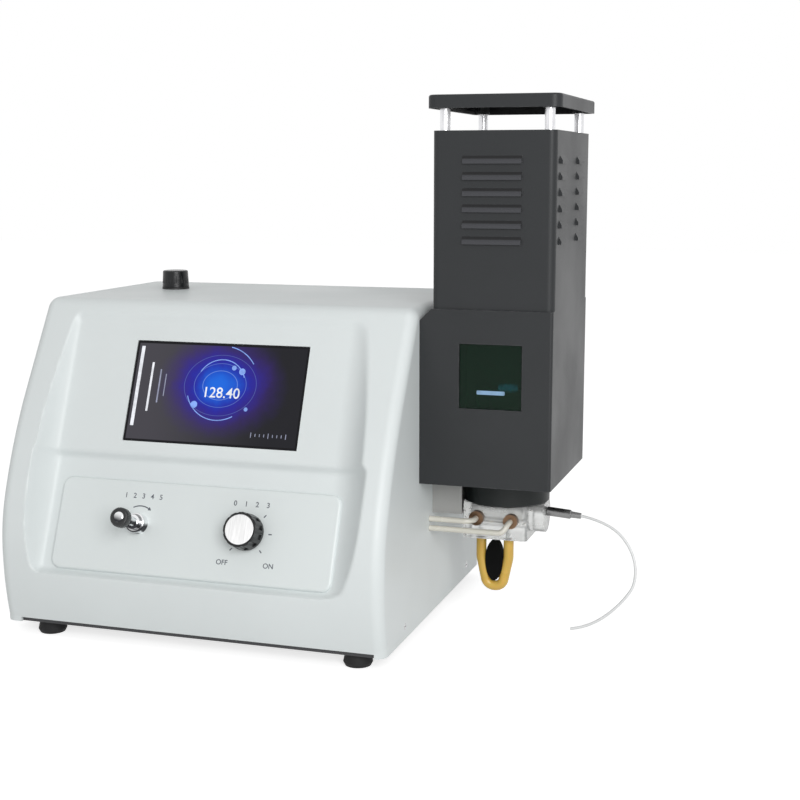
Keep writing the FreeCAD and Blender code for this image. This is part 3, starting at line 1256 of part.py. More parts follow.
def power_inlet():
    """Mains inlet with the power switch's well above its socket."""
    y1 = CASE_D - WALL
    x0 = INLET_X - INLET_W / 2.0
    x1 = INLET_X + INLET_W / 2.0
    z0 = up(INLET_Z) - INLET_H / 2.0
    z1 = up(INLET_Z) + INLET_H / 2.0
    body = box(x0 + 0.2, x1 - 0.2, y1 - INLET_DEPTH, y1, z0 + 0.2, z1 - 0.2)
    flange = box(x0 - 2.0, x1 + 2.0, y1, y1 + 2.0, z0 - 2.0, z1 + 2.0)
    socket = rounded_slab(INLET_X - 12.0, INLET_X + 12.0, -8.0, 8.0, 0.0, 20.0, 3.0)
    socket.rotate(Vector(0, 0, 0), X_AXIS, 90.0)
    socket.translate(Vector(0, y1 + 3.0, up(INLET_Z) - 12.0))
    well = box(INLET_X - ROCKER_W / 2.0 - 0.5, INLET_X + ROCKER_W / 2.0 + 0.5, y1 - 14.0, y1 + 3.0,
               rocker_z() - ROCKER_H / 2.0 - 0.5, rocker_z() + ROCKER_H / 2.0 + 0.5)
    pin_start = Vector(INLET_X - ROCKER_W / 2.0 - 2.5, rocker_y(), rocker_z())
    pin_hole = rod(pin_start, X_AXIS, 1.5 + RUNNING, ROCKER_W + 5.0)
    inlet = cut_all(join([body, flange]), [socket, well, pin_hole])
    pins = []
    for x, z in ((-6.0, -2.0), (0.0, 3.0), (6.0, -2.0)):
        middle_z = up(INLET_Z) - 12.0 + z
        pins.append(box(INLET_X + x - 0.9, INLET_X + x + 0.9, y1 - 18.0, y1 - 4.0,
                        middle_z - 2.0, middle_z + 2.0))
    return join([inlet] + pins)


def rocker_y():
    return CASE_D - WALL - 3.0


def rocker_z():
    return up(INLET_Z) + 13.0


def power_rocker():
    """Rocker on a cross pin, at rest tipped to its off side."""
    y = rocker_y()
    z = rocker_z()
    half = ROCKER_H / 2.0 - 0.8
    outline = ((-2.5, -2.0), (5.2, -half), (4.0, 0.0), (5.2, half), (-2.5, 2.0), (-2.5, -2.0))
    face = Part.Face(Part.makePolygon([Vector(0, y + out, z + rise) for out, rise in outline]))
    rocker = face.extrude(X_AXIS * ROCKER_W)
    rocker.translate(X_AXIS * (INLET_X - ROCKER_W / 2.0))
    rocker.rotate(Vector(INLET_X, y, z), X_AXIS, ROCKER_ANGLE)
    pin = rod(Vector(INLET_X - ROCKER_W / 2.0 - 2.0, y, z), X_AXIS, 1.5, ROCKER_W + 4.0)
    return join([rocker, pin])


def data_port():
    y1 = CASE_D - WALL
    z = up(PORT_Z)
    body = box(PORT_X - 9.8, PORT_X + 9.8, y1 - 14.0, y1 + 1.0, z - 5.8, z + 5.8)
    flange = box(PORT_X - 16.0, PORT_X + 16.0, y1, y1 + 1.0, z - 6.5, z + 6.5)
    shroud = box(PORT_X - 8.5, PORT_X + 8.5, y1, y1 + 5.0, z - 4.2, z + 4.2)
    well = box(PORT_X - 7.7, PORT_X + 7.7, y1 - 3.0, y1 + 6.0, z - 3.4, z + 3.4)
    port = join([body, flange, shroud]).cut(well)
    pins = []
    for index in range(9):
        row = index // 5
        x = PORT_X - 5.2 + 2.6 * (index % 5) + 1.3 * row
        pins.append(rod(Vector(x, y1 - 4.0, z + 1.4 - 2.8 * row), Y_AXIS, 0.4, 7.0))
    return join([port] + pins)


def hose_barbs():
    """Gas and air inlet fittings: nut, bulkhead neck and a plain hose spigot."""
    y1 = CASE_D - WALL
    pieces = []
    for x in BARB_X:
        start = Vector(x, y1, up(BARB_Z))
        hexagon = []
        for corner in range(7):
            turn = math.radians(60.0 * corner + 30.0)
            hexagon.append(Vector(x + 8.0 * math.cos(turn), y1, up(BARB_Z) + 8.0 * math.sin(turn)))
        nut = Part.Face(Part.makePolygon(hexagon)).extrude(Y_AXIS * 5.0)
        spigot = rod(start + Y_AXIS * 4.0, Y_AXIS, BARB_R, 1.0 + BARB_LEN)
        lead_in = cone(start + Y_AXIS * (5.0 + BARB_LEN), Y_AXIS, BARB_R, BARB_R - 0.8, 2.0)
        neck = rod(start - Y_AXIS * 12.0, Y_AXIS, BARB_NECK_R, 13.0)
        back_nut = ring(start - Y_AXIS * (PANEL_T + 4.0), Y_AXIS, 8.0, BARB_NECK_R - 0.5, 4.0)
        fitting = join([nut, spigot, lead_in, neck, back_nut])
        pieces.append(fitting.cut(rod(start - Y_AXIS * 20.0, Y_AXIS, PIPE_R, 60.0)))
    return group(pieces)


def flame_safety_valve():
    """Solenoid valve that shuts the gas when the flame goes out."""
    half_w = SAFETY_W / 2.0
    half_d = SAFETY_D / 2.0
    block = box(SAFETY_X - half_w, SAFETY_X + half_w, SAFETY_Y - half_d, SAFETY_Y + half_d, FLOOR_Z,
                FLOOR_Z + SAFETY_H)
    coil = rod(Vector(SAFETY_X, SAFETY_Y + 6.0, FLOOR_Z + SAFETY_H - 1.0), Z_AXIS, 11.0, 26.0)
    stud = rod(Vector(SAFETY_X, SAFETY_Y + 6.0, FLOOR_Z + SAFETY_H + 24.0), Z_AXIS, 3.0, 5.0)
    whole = join([block, coil, stud])
    passage = rod(Vector(SAFETY_X, SAFETY_Y - half_d - 1.0, SAFETY_PORT_Z), Y_AXIS, PIPE_R, SAFETY_D + 2.0)
    return whole.cut(passage)


def gas_pipes():
    """Copper pipes from the gas inlet to the safety valve, on to the switch valve and the needle valve."""
    back = SAFETY_Y + SAFETY_D / 2.0
    front = SAFETY_Y - SAFETY_D / 2.0
    inlet = pipe([(SAFETY_X, CASE_D - WALL - 12.0, up(BARB_Z)), (SAFETY_X, back + 22.0, up(BARB_Z)),
                  (SAFETY_X, back + 16.0, SAFETY_PORT_Z), (SAFETY_X, back, SAFETY_PORT_Z)], PIPE_R, 7.0)
    valve_end = -FLOOR_DEPTH - WALL - VALVE_LEN
    mouth = panel_point(LPG_U, SPINDLE_V, valve_end)
    behind = panel_point(LPG_U, SPINDLE_V, valve_end - 14.0)
    supply = pipe([(SAFETY_X, front, SAFETY_PORT_Z), (SAFETY_X, front - 22.0, SAFETY_PORT_Z),
                   (SAFETY_X, front - 28.0, 60.0), tuple(behind), tuple(mouth)], PIPE_R, 7.0)
    left = GAS_U + VALVE_R + 6.0
    right = LPG_U - VALVE_R - 6.0
    link = on_panel(rod(Vector(left, SPINDLE_V, LINK_W), X_AXIS, PIPE_R, right - left))
    return group([inlet, supply, link])


def gas_burner_pipe():
    valve_end = -FLOOR_DEPTH - WALL - VALVE_LEN
    mouth = panel_point(GAS_U, SPINDLE_V, valve_end)
    behind = panel_point(GAS_U, SPINDLE_V, valve_end - 24.0)
    gas_z = up(GAS_PIPE_Z)
    ring_y = BURNER_Y - CHAMBER_HALF_D
    return pipe([(mouth.x, mouth.y, mouth.z), (behind.x, behind.y, behind.z), (GAS_U, PIPE_Y, behind.z),
                 (CASE_W - 53.0, PIPE_Y, behind.z), (CASE_W - 31.0, PIPE_Y, gas_z),
                 (RING_X[0], PIPE_Y, gas_z),
                 (RING_X[0], ring_y, gas_z)], PIPE_R, 8.0)


def air_inlet_pipe():
    z = up(REG_PORT_Z)
    riser_y = CASE_D - WALL - 39.0
    return pipe([(BARB_X[1], CASE_D - WALL - 12.0, up(BARB_Z)), (BARB_X[1], riser_y, up(BARB_Z)),
                 (BARB_X[1], riser_y, z), (REG_X, riser_y, z),
                 (REG_X, REG_Y + REG_BODY_R + 4.0, z)], PIPE_R, 12.0)


def air_burner_pipe():
    z = up(REG_PORT_Z)
    air_z = up(AIR_PIPE_Z)
    ring_y = BURNER_Y - CHAMBER_HALF_D
    run_y = REG_Y - REG_BODY_R - 40.0
    return pipe([(REG_X, REG_Y - REG_BODY_R - 4.0, z), (REG_X, run_y, z), (REG_X, run_y, air_z),
                 (CASE_W - 39.0, run_y, air_z), (CASE_W - 19.0, PIPE_Y, air_z),
                 (RING_X[1] - 4.0, PIPE_Y, air_z),
                 (RING_X[1], PIPE_Y + 4.0, up(RING_LOW_Z)), (RING_X[1], ring_y, up(RING_LOW_Z))], PIPE_R, 8.0)


def igniter_module():
    x0 = IGNITER_X1 - IGNITER_W
    y1 = IGNITER_FRONT + IGNITER_D
    block = box(x0, IGNITER_X1, IGNITER_FRONT, y1, FLOOR_Z, FLOOR_Z + IGNITER_H)
    return join([block, rod(igniter_outlet() - Z_AXIS * 6.0, Z_AXIS, 5.0, 6.0)])


def igniter_outlet():
    return Vector(IGNITER_X1 - IGNITER_W / 2.0, IGNITER_FRONT + IGNITER_D / 2.0, FLOOR_Z + IGNITER_H + 5.0)


def igniter_electrode():
    """Ceramic sleeve on the burner base with its spark tip beside the burner head."""
    foot = Vector(ELECTRODE_X, ELECTRODE_Y, up(HOUSING_LOW) + BASE_PROUD)
    height = up(BURNER_HEAD_TOP) - ELECTRODE_DROP - foot.z
    sleeve = rod(foot, Z_AXIS, 3.2, height - 12.0)
    collar = rod(foot, Z_AXIS, 5.0, 5.0)
    wire = rod(foot + Z_AXIS * 5.0, Z_AXIS, 0.9, height - 5.0)
    point = rod(foot + Z_AXIS * (height - 1.0), X_AXIS, 0.9, 7.0)
    terminal = rod(foot + Z_AXIS * 9.0, Y_AXIS * -1.0, 2.4, 7.0)
    return join([sleeve, collar, wire, point, terminal])


def igniter_lead():
    start = igniter_outlet()
    z = up(LEAD_Z)
    end_z = up(HOUSING_LOW) + BASE_PROUD + 9.0
    return pipe([tuple(start), (start.x, start.y, start.z + 34.0), (start.x, LEAD_Y, z - 12.0),
                 (start.x + 16.0, LEAD_Y, z), (ELECTRODE_X - 14.0, LEAD_Y, z),
                 (ELECTRODE_X, LEAD_Y + 16.0, end_z + 2.0),
                 (ELECTRODE_X, ELECTRODE_Y - 7.0, end_z)], LEAD_R, 9.0)


# ---------------------------------------------------------------- optics
def detector_block():
    """Optical block on the inside of the case wall, looking at the flame through a tube."""
    z = up(OPTIC_Z)
    half_w = BLOCK_W / 2.0
    half_h = BLOCK_H / 2.0
    block = box(OPTIC_X1 - BLOCK_L, OPTIC_X1, BURNER_Y - half_w, BURNER_Y + half_w, z - half_h, z + half_h)
    tube = rod(Vector(OPTIC_X1 - 1.0, BURNER_Y, z), X_AXIS, OPTIC_TUBE_R, 1.0 + WALL + SHEET)
    cuts = [
        rod(Vector(OPTIC_X1 - BLOCK_L - 1.0, BURNER_Y, z), X_AXIS, BEAM_R, BLOCK_L + 20.0),
        rod(Vector(OPTIC_X1 - BLOCK_CROSS, BURNER_Y, z), Y_AXIS, BEAM_R, BLOCK_W),
    ]
    return cut_all(join([block, tube]), cuts)


def collector_lens():
    """Flat-backed lens, its domed side towards the flame."""
    start = Vector(OPTIC_X1 - 6.0, BURNER_Y, up(OPTIC_Z))
    disc = rod(start, X_AXIS, BEAM_R, 3.0)
    dome_r = 2.2 * BEAM_R
    dome = Part.makeSphere(dome_r, start + X_AXIS * (5.2 - dome_r))
    return join([disc, dome.common(rod(start + X_AXIS * 2.9, X_AXIS, BEAM_R, 6.0))])


def beam_splitter():
    """Half-silvered plate at 45 degrees where the two beams part."""
    centre = Vector(OPTIC_X1 - BLOCK_CROSS, BURNER_Y, up(OPTIC_Z))
    reach = BEAM_R + 2.0
    plate = box(centre.x - 0.5, centre.x + 0.5, centre.y - reach, centre.y + reach,
                centre.z - BEAM_R + 1.0, centre.z + BEAM_R - 1.0)
    plate.rotate(centre, Z_AXIS, 45.0)
    bores = join([rod(centre - X_AXIS * 30.0, X_AXIS, BEAM_R, 60.0), rod(centre, Y_AXIS, BEAM_R, 30.0)])
    return plate.common(bores)


def light_filters():
    """Colour filters in front of the two photodiodes."""
    z = up(OPTIC_Z)
    straight = rod(Vector(OPTIC_X1 - BLOCK_L + 8.0, BURNER_Y, z), X_AXIS, BEAM_R, 3.0)
    side = rod(Vector(OPTIC_X1 - BLOCK_CROSS, BURNER_Y + BLOCK_W / 2.0 - 11.0, z), Y_AXIS, BEAM_R, 3.0)
    return group([straight, side])


def photodiodes():
    """Two cans, each closing one bore of the optical block."""
    z = up(OPTIC_Z)
    places = ((Vector(OPTIC_X1 - BLOCK_L, BURNER_Y, z), X_AXIS),
              (Vector(OPTIC_X1 - BLOCK_CROSS, BURNER_Y + BLOCK_W / 2.0, z), Y_AXIS * -1.0))
    pieces = []
    for start, axis in places:
        parts = [rod(start, axis, BEAM_R, 5.0), rod(start - axis * 1.0, axis, BEAM_R + 2.0, 1.0)]
        for side in (-3.0, 3.0):
            parts.append(rod(start + Z_AXIS * side - axis * 7.0, axis, 0.5, 6.5))
        pieces.append(join(parts))
    return group(pieces)


# ---------------------------------------------------------------- assembly
PIECES = {
    "feet": feet,
    "foot_screws": foot_screws,
    "base_tray": base_tray,
    "cover_shell": cover_shell,
    "rear_panel": rear_panel,
    "panel_screws": panel_screws,
    "control_plate": control_plate,
    "touch_glass": touch_glass,
    "display_module": display_module,
    "display_board": display_board,
    "power_supply": power_supply,
    "main_board": main_board,
    "power_inlet": power_inlet,
    "power_rocker": power_rocker,
    "data_port": data_port,
    "hose_barbs": hose_barbs,
    "flame_safety_valve": flame_safety_valve,
    "gas_pipes": gas_pipes,
    "gas_burner_pipe": gas_burner_pipe,
    "air_inlet_pipe": air_inlet_pipe,
    "air_burner_pipe": air_burner_pipe,
    "needle_valve_body": needle_valve_body,
    "panel_nuts": panel_nuts,
    "gas_spindle": gas_spindle,
    "gas_knob": gas_knob,
    "gas_needle": gas_needle,
    "lpg_valve_body": lpg_valve_body,
    "lpg_plug": lpg_plug,
    "lpg_stem": lpg_stem,
    "lpg_knob": lpg_knob,
    "lpg_knob_cap": lpg_knob_cap,
    "regulator_body": regulator_body,
    "regulator_ring": regulator_ring,
    "regulator_screw": regulator_screw,
    "regulator_knob": regulator_knob,
    "igniter_module": igniter_module,
    "igniter_lead": igniter_lead,
    "igniter_electrode": igniter_electrode,
    "detector_block": detector_block,
    "collector_lens": collector_lens,
    "beam_splitter": beam_splitter,
    "light_filters": light_filters,
    "photodiodes": photodiodes,
    "burner_housing": burner_housing,
    "window_glass": window_glass,
    "chimney": chimney,
    "chimney_posts": chimney_posts,
    "chimney_cap": chimney_cap,
    "cap_screws": cap_screws,
    "burner_base": burner_base,
    "burner_head": burner_head,
    "burner_bracket": burner_bracket,
    "mixing_chamber": mixing_chamber,
    "chamber_fittings": chamber_fittings,
    "nebuliser": nebuliser,
    "drain_tube": drain_tube,
    "drain_former": drain_former,
    "sample_capillary": sample_capillary,
}
FREE_CORD = "sample_capillary"


def say(name, point, shift):
    place = point + shift
    print("%s at %.3f, %.3f, %.3f" % (name, place.x, place.y, place.z))


def main():
    os.makedirs("parts", exist_ok=True)
    shapes = {node: make() for node, make in PIECES.items()}
    bounds = FreeCAD.BoundBox()
    for node, shape in shapes.items():
        if node != FREE_CORD:
            bounds.add(shape.optimalBoundingBox(False))
    shift = Vector(-bounds.Center.x, -bounds.Center.y, -bounds.ZMin)
    for node, shape in shapes.items():
        shape.translate(shift)
        shape.exportStep("parts/%s.step" % node)
        facts = (node, len(shape.Solids), shape.isValid(), shape.Volume)
        print("%-20s solids %d valid %s volume %.0f" % facts)
    print("size %.1f x %.1f x %.1f" % (bounds.XLength, bounds.YLength, bounds.ZLength))
    print("shift %.3f, %.3f" % (shift.x, shift.y))
    say("gas spindle axis", panel_point(GAS_U, SPINDLE_V, PLATE_TOP), shift)
    say("switch spindle axis", panel_point(LPG_U, SPINDLE_V, PLATE_TOP), shift)
    print("panel outward axis %.6f, %.6f, %.6f" % (PANEL_OUT.x, PANEL_OUT.y, PANEL_OUT.z))
    say("regulator axis", Vector(REG_X, REG_Y, CASE_TOP), shift)
    say("rocker pin", Vector(INLET_X, rocker_y(), rocker_z()), shift)
    for name, x in zip(("gas inlet spigot", "air inlet spigot"), BARB_X):
        say(name, Vector(x, CASE_D - WALL + 5.0 + BARB_LEN / 2.0, up(BARB_Z)), shift)
    for point in capillary_points():
        say("capillary point", Vector(*point), shift)


main()
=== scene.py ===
"""Looks of the bench flame photometer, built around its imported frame.

Lengths are written in millimetres of the case's drawing frame, x from the case's left side, y from
its lower front edge, z up from the bench, and turned into the frame's metres by place(). On the
leaning panel u runs across from the case's left side, v up the slope and w out, and panel_matrix()
turns them.
"""

import math

import bmesh
import bpy
import numpy as np
from mathutils import Matrix, Vector


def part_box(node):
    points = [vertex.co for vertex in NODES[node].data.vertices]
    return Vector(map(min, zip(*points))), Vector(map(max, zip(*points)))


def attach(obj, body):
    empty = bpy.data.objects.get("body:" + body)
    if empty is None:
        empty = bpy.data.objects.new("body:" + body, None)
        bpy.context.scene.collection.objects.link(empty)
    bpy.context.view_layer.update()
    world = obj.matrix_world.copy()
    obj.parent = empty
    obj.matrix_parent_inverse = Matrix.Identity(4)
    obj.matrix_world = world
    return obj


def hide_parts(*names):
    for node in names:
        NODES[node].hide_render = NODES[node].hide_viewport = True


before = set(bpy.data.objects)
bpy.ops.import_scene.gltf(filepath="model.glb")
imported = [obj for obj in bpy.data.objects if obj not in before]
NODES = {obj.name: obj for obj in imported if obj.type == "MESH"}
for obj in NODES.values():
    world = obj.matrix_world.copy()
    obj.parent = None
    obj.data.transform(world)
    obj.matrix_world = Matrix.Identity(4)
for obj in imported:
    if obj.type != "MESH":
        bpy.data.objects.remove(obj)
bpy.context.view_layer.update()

# ---------------------------------------------------------------- sizes, millimetres and degrees
# case: outline, curve of its front and its edges
CASE_W = 353.0
CASE_D = 310.0
CASE_Z = 16.0
FOOT_H = 12.0
TRAY_SHOWS_LEFT = 16.0
TRAY_SHOWS_RIGHT = 9.0
CASE_TOP = 290.5
WALL = 3.0
SIDE_EDGE_R = 10.0
TOP_FRONT_R = 14.0
TOP_BACK_R = 20.0
BULGE_Y = -3.5
BULGE_H = 62.0
BULGE_R = 280.0
BEND_R = 150.0
BEND_ANGLE = 18.0
SLACK_R = 420.0
SLOPE_ANGLE = 31.5

# leaning panel: its sunk area, the runs of that area's walls, and the field round the display
LEAN = math.radians(22.5)
PANEL_Y = 61.5
PANEL_Z = 214.0
FLOOR_DEPTH = 6.0
RECESS_LEFT = 30.0
RECESS_RIGHT = 36.0
RECESS_LOW = -169.0
RECESS_HIGH = 75.0
RECESS_SPREAD = -3.0
LEFT_RUN = 7.0
RIGHT_RUN = 17.0
LOW_RUN = 7.0
HIGH_RUN = 14.0
CREST_SOFT = 2.5
PILLOW_LOW = -63.0
PILLOW_STEP = 7.0
PILLOW_R = 16.0
PILLOW_BEYOND = 36.0

# display glass, control plate, knobs
GLASS_U = 180.5
GLASS_W = 163.0
GLASS_H = 90.5
GLASS_SINK = 0.7
FIT_GAP = 0.3
PLATE_U0 = 47.0
PLATE_U1 = 307.0
PLATE_V0 = -160.5
PLATE_V1 = -79.5
PLATE_R = 9.0
PLATE_TOP = -2.0
GAS_U = 126.0
LPG_U = 228.0
SPINDLE_V = -117.0
BUSH_R = 6.0
PLATE_EDGE_R = 2.6
GAS_NUT_T = 8.0
GAS_NECK_R = 4.6
GAS_DISC_R = 8.4
GAS_DISC_T = 10.0
GAS_DOME_R = 4.6
GAS_REACH = 38.0
REG_X = 70.0
REG_Y = 212.0
REG_NECK_R = 9.0

# tower, pipes, sight glass, the shell's openings and screws
CHIMNEY_Y0 = 101.9
BURNER_X = 412.5
BURNER_Y = 175.4
BURNER_HEAD_TOP = 212.0
PIPE_Y = 132.0
GAS_PIPE_Z = 100.0
AIR_PIPE_Z = 91.5
PIPE_R = 2.5
GLASS_FACE_Y = 101.5
LINE_X = 414.9
LINE_Z = 220.0
LINE_W = 24.2
LINE_H = 3.4
LEAD_Y = 112.0
LEAD_Z = 150.0
LEAD_R = 1.6
OPTIC_Z = 233.5
BACK_LIP = 14.0
BACK_OPEN_TOP = 261.0
SCREW_R = 1.5
SCREW_HEAD_R = 3.0
SIDE_SCREW_FROM_FRONT = 60.0
SIDE_SCREW_FROM_BACK = 50.0
SIDE_SCREW_UP = 7.0
LIGHT_PORT_R = 11.0
PASS_GAP = 0.3

# the shell's mesh: line spacing where it curves and where it is flat
FINE_STEP = 1.2
COARSE_STEP = 4.0
EDGE_STEPS = 10

# marks on the control plate and on the display
PRINT_T = 0.04
NUMBERS_V = -93.0
NUMBER_SIZE = 6.2
WORDS_V = -143.5
WORD_SIZE = 6.0
ARROW_R = 15.5
ARROW_FROM = 62.0
ARROW_TO = 118.0
TICK_R = 20.0
LIT_T = 0.03
GLOW_U = 3.0
GLOW_V = 8.0

# flame cones on the burner's head: ring radius and how many stand on it
FLAME_RINGS = ((0.0, 1), (4.0, 6), (8.0, 12))
FLAME_FOOT_R = 1.1
FLAME_TIP_R = 0.3
FLAME_H = 4.5

# paint, floor and light; the lamp's place is in metres
TOWER_COLOUR = (0.025, 0.027, 0.029)
WORLD_LIGHT = 0.48
FLOOR_TONE = 0.72
FLOOR_FILL = 0.7
LAMP_PLACE = (1.15, -1.85, 0.95)
LAMP_SIZE = 1.2
LAMP_POWER = 30.0

# the sample tube: from the nebuliser's tip out, down and back towards the bench
CAPILLARY_D = 0.0026
CAPILLARY_POINTS = [
    (0.240098, 0.020891, 0.101568),
    (0.248594, 0.018991, 0.101000),
    (0.265394, 0.015991, 0.096200),
    (0.276594, 0.012991, 0.089600),
    (0.285694, 0.009991, 0.079100),
    (0.291294, 0.006991, 0.066200),
    (0.291894, 0.003991, 0.051500),
    (0.288494, 0.000991, 0.041500),
    (0.276294, -0.002009, 0.026700),
    (0.262694, -0.005009, 0.015400),
    (0.247794, -0.008009, 0.008400),
    (0.237894, -0.009509, 0.006800),
]

# camera: place in the drawing frame, turn and tip in degrees, lens and sensor in millimetres
CAMERA_PLACE = (696.96, -1036.35, 404.02)
CAMERA_YAW = 17.64
CAMERA_PITCH = 9.22
CAMERA_LENS = 63.49
SENSOR = 36.0


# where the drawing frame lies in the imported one: the glass's middle and the back panel's outer face
SHIFT_X = 500.0 * (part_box("touch_glass")[0][0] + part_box("touch_glass")[1][0]) - GLASS_U
SHIFT_Y = 1000.0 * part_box("rear_panel")[1][1] - (CASE_D - WALL)


def place(x, y, z):
    """A point of the drawing frame, in metres of the frame."""
    return Vector(((x + SHIFT_X) / 1000.0, (y + SHIFT_Y) / 1000.0, z / 1000.0))


SIDEWAYS = Vector((1.0, 0.0, 0.0))
UPRIGHT = Vector((0.0, 0.0, 1.0))
PANEL_UP = Vector((0.0, math.sin(LEAN), math.cos(LEAN)))
PANEL_OUT = Vector((0.0, -math.cos(LEAN), math.sin(LEAN)))


def panel_matrix(u, v, w, turn=0.0):
    """Where a flat piece drawn in metres in its own x, y plane lies on the leaning panel."""
    origin = place(u, PANEL_Y, PANEL_Z) + (PANEL_UP * v + PANEL_OUT * w) / 1000.0
    axes = Matrix((SIDEWAYS, PANEL_UP, PANEL_OUT)).transposed().to_4x4()
    return Matrix.Translation(origin) @ axes @ Matrix.Rotation(turn, 4, "Z")


def on_panel(u, v, w):
    """A point of the leaning panel, in metres of the frame."""
    return panel_matrix(u, v, w).translation


def add_object(name, data):
    made = bpy.data.objects.new(name, data)
    bpy.context.scene.collection.objects.link(made)
    return made


# ---------------------------------------------------------------- camera and cord
def add_camera():
    data = bpy.data.cameras.new("camera")
    data.lens = CAMERA_LENS
    data.sensor_width = SENSOR
    data.clip_start = 0.01
    camera = add_object("camera", data)
    camera.location = place(*CAMERA_PLACE)
    camera.rotation_euler = (math.radians(90.0 - CAMERA_PITCH), 0.0, math.radians(CAMERA_YAW))
    bpy.context.scene.camera = camera


def add_capillary():
    curve = bpy.data.curves.new("sample_tube", "CURVE")
    curve.dimensions = "3D"
    curve.resolution_u = 12
    curve.bevel_depth = 1.0
    curve.bevel_resolution = 6
    curve.use_fill_caps = True
    spline = curve.splines.new("NURBS")
    spline.points.add(len(CAPILLARY_POINTS) - 1)
    for point, where in zip(spline.points, CAPILLARY_POINTS):
        point.co = (*where, 1.0)
        point.radius = CAPILLARY_D / 2.0
    spline.order_u = 3
    spline.use_endpoint_u = True
    tube = add_object("sample_tube", curve)
    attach(tube, "instrument")
    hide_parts("sample_capillary")
    return tube


# ---------------------------------------------------------------- node helpers
def add_node(tree, kind, **settings):
    node = tree.nodes.new(kind)
    for name, value in settings.items():
        setattr(node, name, value)
    return node


def join(tree, source, target):
    tree.links.new(source, target)


def math_node(tree, operation, first, second=None, third=None):
    node = add_node(tree, "ShaderNodeMath", operation=operation)
    for index, value in enumerate((first, second, third)):
        if value is None:
            continue
        if isinstance(value, (int, float)):
            node.inputs[index].default_value = value
        else:
            join(tree, value, node.inputs[index])
    return node.outputs[0]


def vector_node(tree, operation, first, second=None):
    node = add_node(tree, "ShaderNodeVectorMath", operation=operation)
    for index, value in enumerate((first, second)):
        if value is None:
            continue
        if isinstance(value, (tuple, Vector)):
            node.inputs[index].default_value = value
        else:
            join(tree, value, node.inputs[index])
    return node


def mix_colour(tree, factor, first, second):
    node = add_node(tree, "ShaderNodeMix", data_type="RGBA")
    for socket, value in ((node.inputs[0], factor), (node.inputs[6], first), (node.inputs[7], second)):
        if isinstance(value, (int, float)):
            socket.default_value = value
        elif isinstance(value, tuple):
            socket.default_value = (*value, 1.0)
        else:
            join(tree, value, socket)
    return node.outputs[2]


def map_range(tree, value, low, high, to_low=0.0, to_high=1.0, smooth=True):
    node = add_node(tree, "ShaderNodeMapRange")
    node.interpolation_type = "SMOOTHSTEP" if smooth else "LINEAR"
    join(tree, value, node.inputs["Value"])
    node.inputs["From Min"].default_value = low
    node.inputs["From Max"].default_value = high
    node.inputs["To Min"].default_value = to_low
    node.inputs["To Max"].default_value = to_high
    return node.outputs["Result"]


def noise(tree, vector, scale, detail=2.0, roughness=0.5):
    node = add_node(tree, "ShaderNodeTexNoise")
    join(tree, vector, node.inputs["Vector"])
    if isinstance(scale, (int, float)):
        node.inputs["Scale"].default_value = scale
    else:
        join(tree, scale, node.inputs["Scale"])
    node.inputs["Detail"].default_value = detail
    node.inputs["Roughness"].default_value = roughness
    return node.outputs["Fac"]


def surface_point(tree):
    """The shaded point in the piece's own coordinates, so that a pattern moves with its piece."""
    return add_node(tree, "ShaderNodeTexCoord").outputs["Object"]


def dimmed(colour, share):
    return tuple(part * share for part in colour)


def new_group(name, inputs, outputs):
    tree = bpy.data.node_groups.new(name, "ShaderNodeTree")
    for label, kind, value in inputs:
        socket = tree.interface.new_socket(label, in_out="INPUT", socket_type=kind)
        socket.default_value = value
    for label, kind in outputs:
        tree.interface.new_socket(label, in_out="OUTPUT", socket_type=kind)
    return tree, add_node(tree, "NodeGroupInput"), add_node(tree, "NodeGroupOutput")


# ---------------------------------------------------------------- shared surface effects
def grain_group():
    """Fine moulded or painted grain, and slow cloudy unevenness."""
    tree, give, take = new_group(
        "surface_grain",
        [("Scale", "NodeSocketFloat", 900.0), ("Cloud Scale", "NodeSocketFloat", 9.0)],
        [("Height", "NodeSocketFloat"), ("Cloud", "NodeSocketFloat")])
    where = surface_point(tree)
    fine = noise(tree, where, give.outputs["Scale"], 3.0, 0.6)
    broad = noise(tree, where, give.outputs["Cloud Scale"], 3.0, 0.55)
    join(tree, fine, take.inputs["Height"])
    join(tree, map_range(tree, broad, 0.3, 0.7), take.inputs["Cloud"])
    return tree


def edge_group():
    """Mask of the convex edges, broken up by noise, where paint or plating is rubbed; on the tower's paler
    edges it is also a painted highlight.
    """
    tree, give, take = new_group(
        "edge_tone_mask", [("Amount", "NodeSocketFloat", 1.0)], [("Mask", "NodeSocketFloat")])
    bevel = add_node(tree, "ShaderNodeBevel", samples=4)
    bevel.inputs["Radius"].default_value = 0.0012
    surface = add_node(tree, "ShaderNodeNewGeometry")
    along = vector_node(tree, "DOT_PRODUCT", bevel.outputs["Normal"], surface.outputs["Normal"])
    edge = map_range(tree, along.outputs["Value"], 0.985, 0.86)
    where = surface_point(tree)
    rub = map_range(tree, noise(tree, where, 160.0, 4.0, 0.65), 0.42, 0.66)
    mask = math_node(tree, "MULTIPLY", math_node(tree, "MULTIPLY", edge, rub), give.outputs["Amount"])
    join(tree, mask, take.inputs["Mask"])
    return tree


def brushing_group():
    """Streaks left by a brush or a lathe: noise squeezed along one direction."""
    tree, give, take = new_group(
        "brushed_streaks",
        [("Stretch", "NodeSocketVector", (900.0, 900.0, 30.0))],
        [("Height", "NodeSocketFloat"), ("Streak", "NodeSocketFloat")])
    where = surface_point(tree)
    squeezed = vector_node(tree, "MULTIPLY", where, give.outputs["Stretch"])
    streak = noise(tree, squeezed.outputs[0], 1.0, 4.0, 0.6)
    join(tree, streak, take.inputs["Height"])
    join(tree, map_range(tree, streak, 0.3, 0.7), take.inputs["Streak"])
    return tree


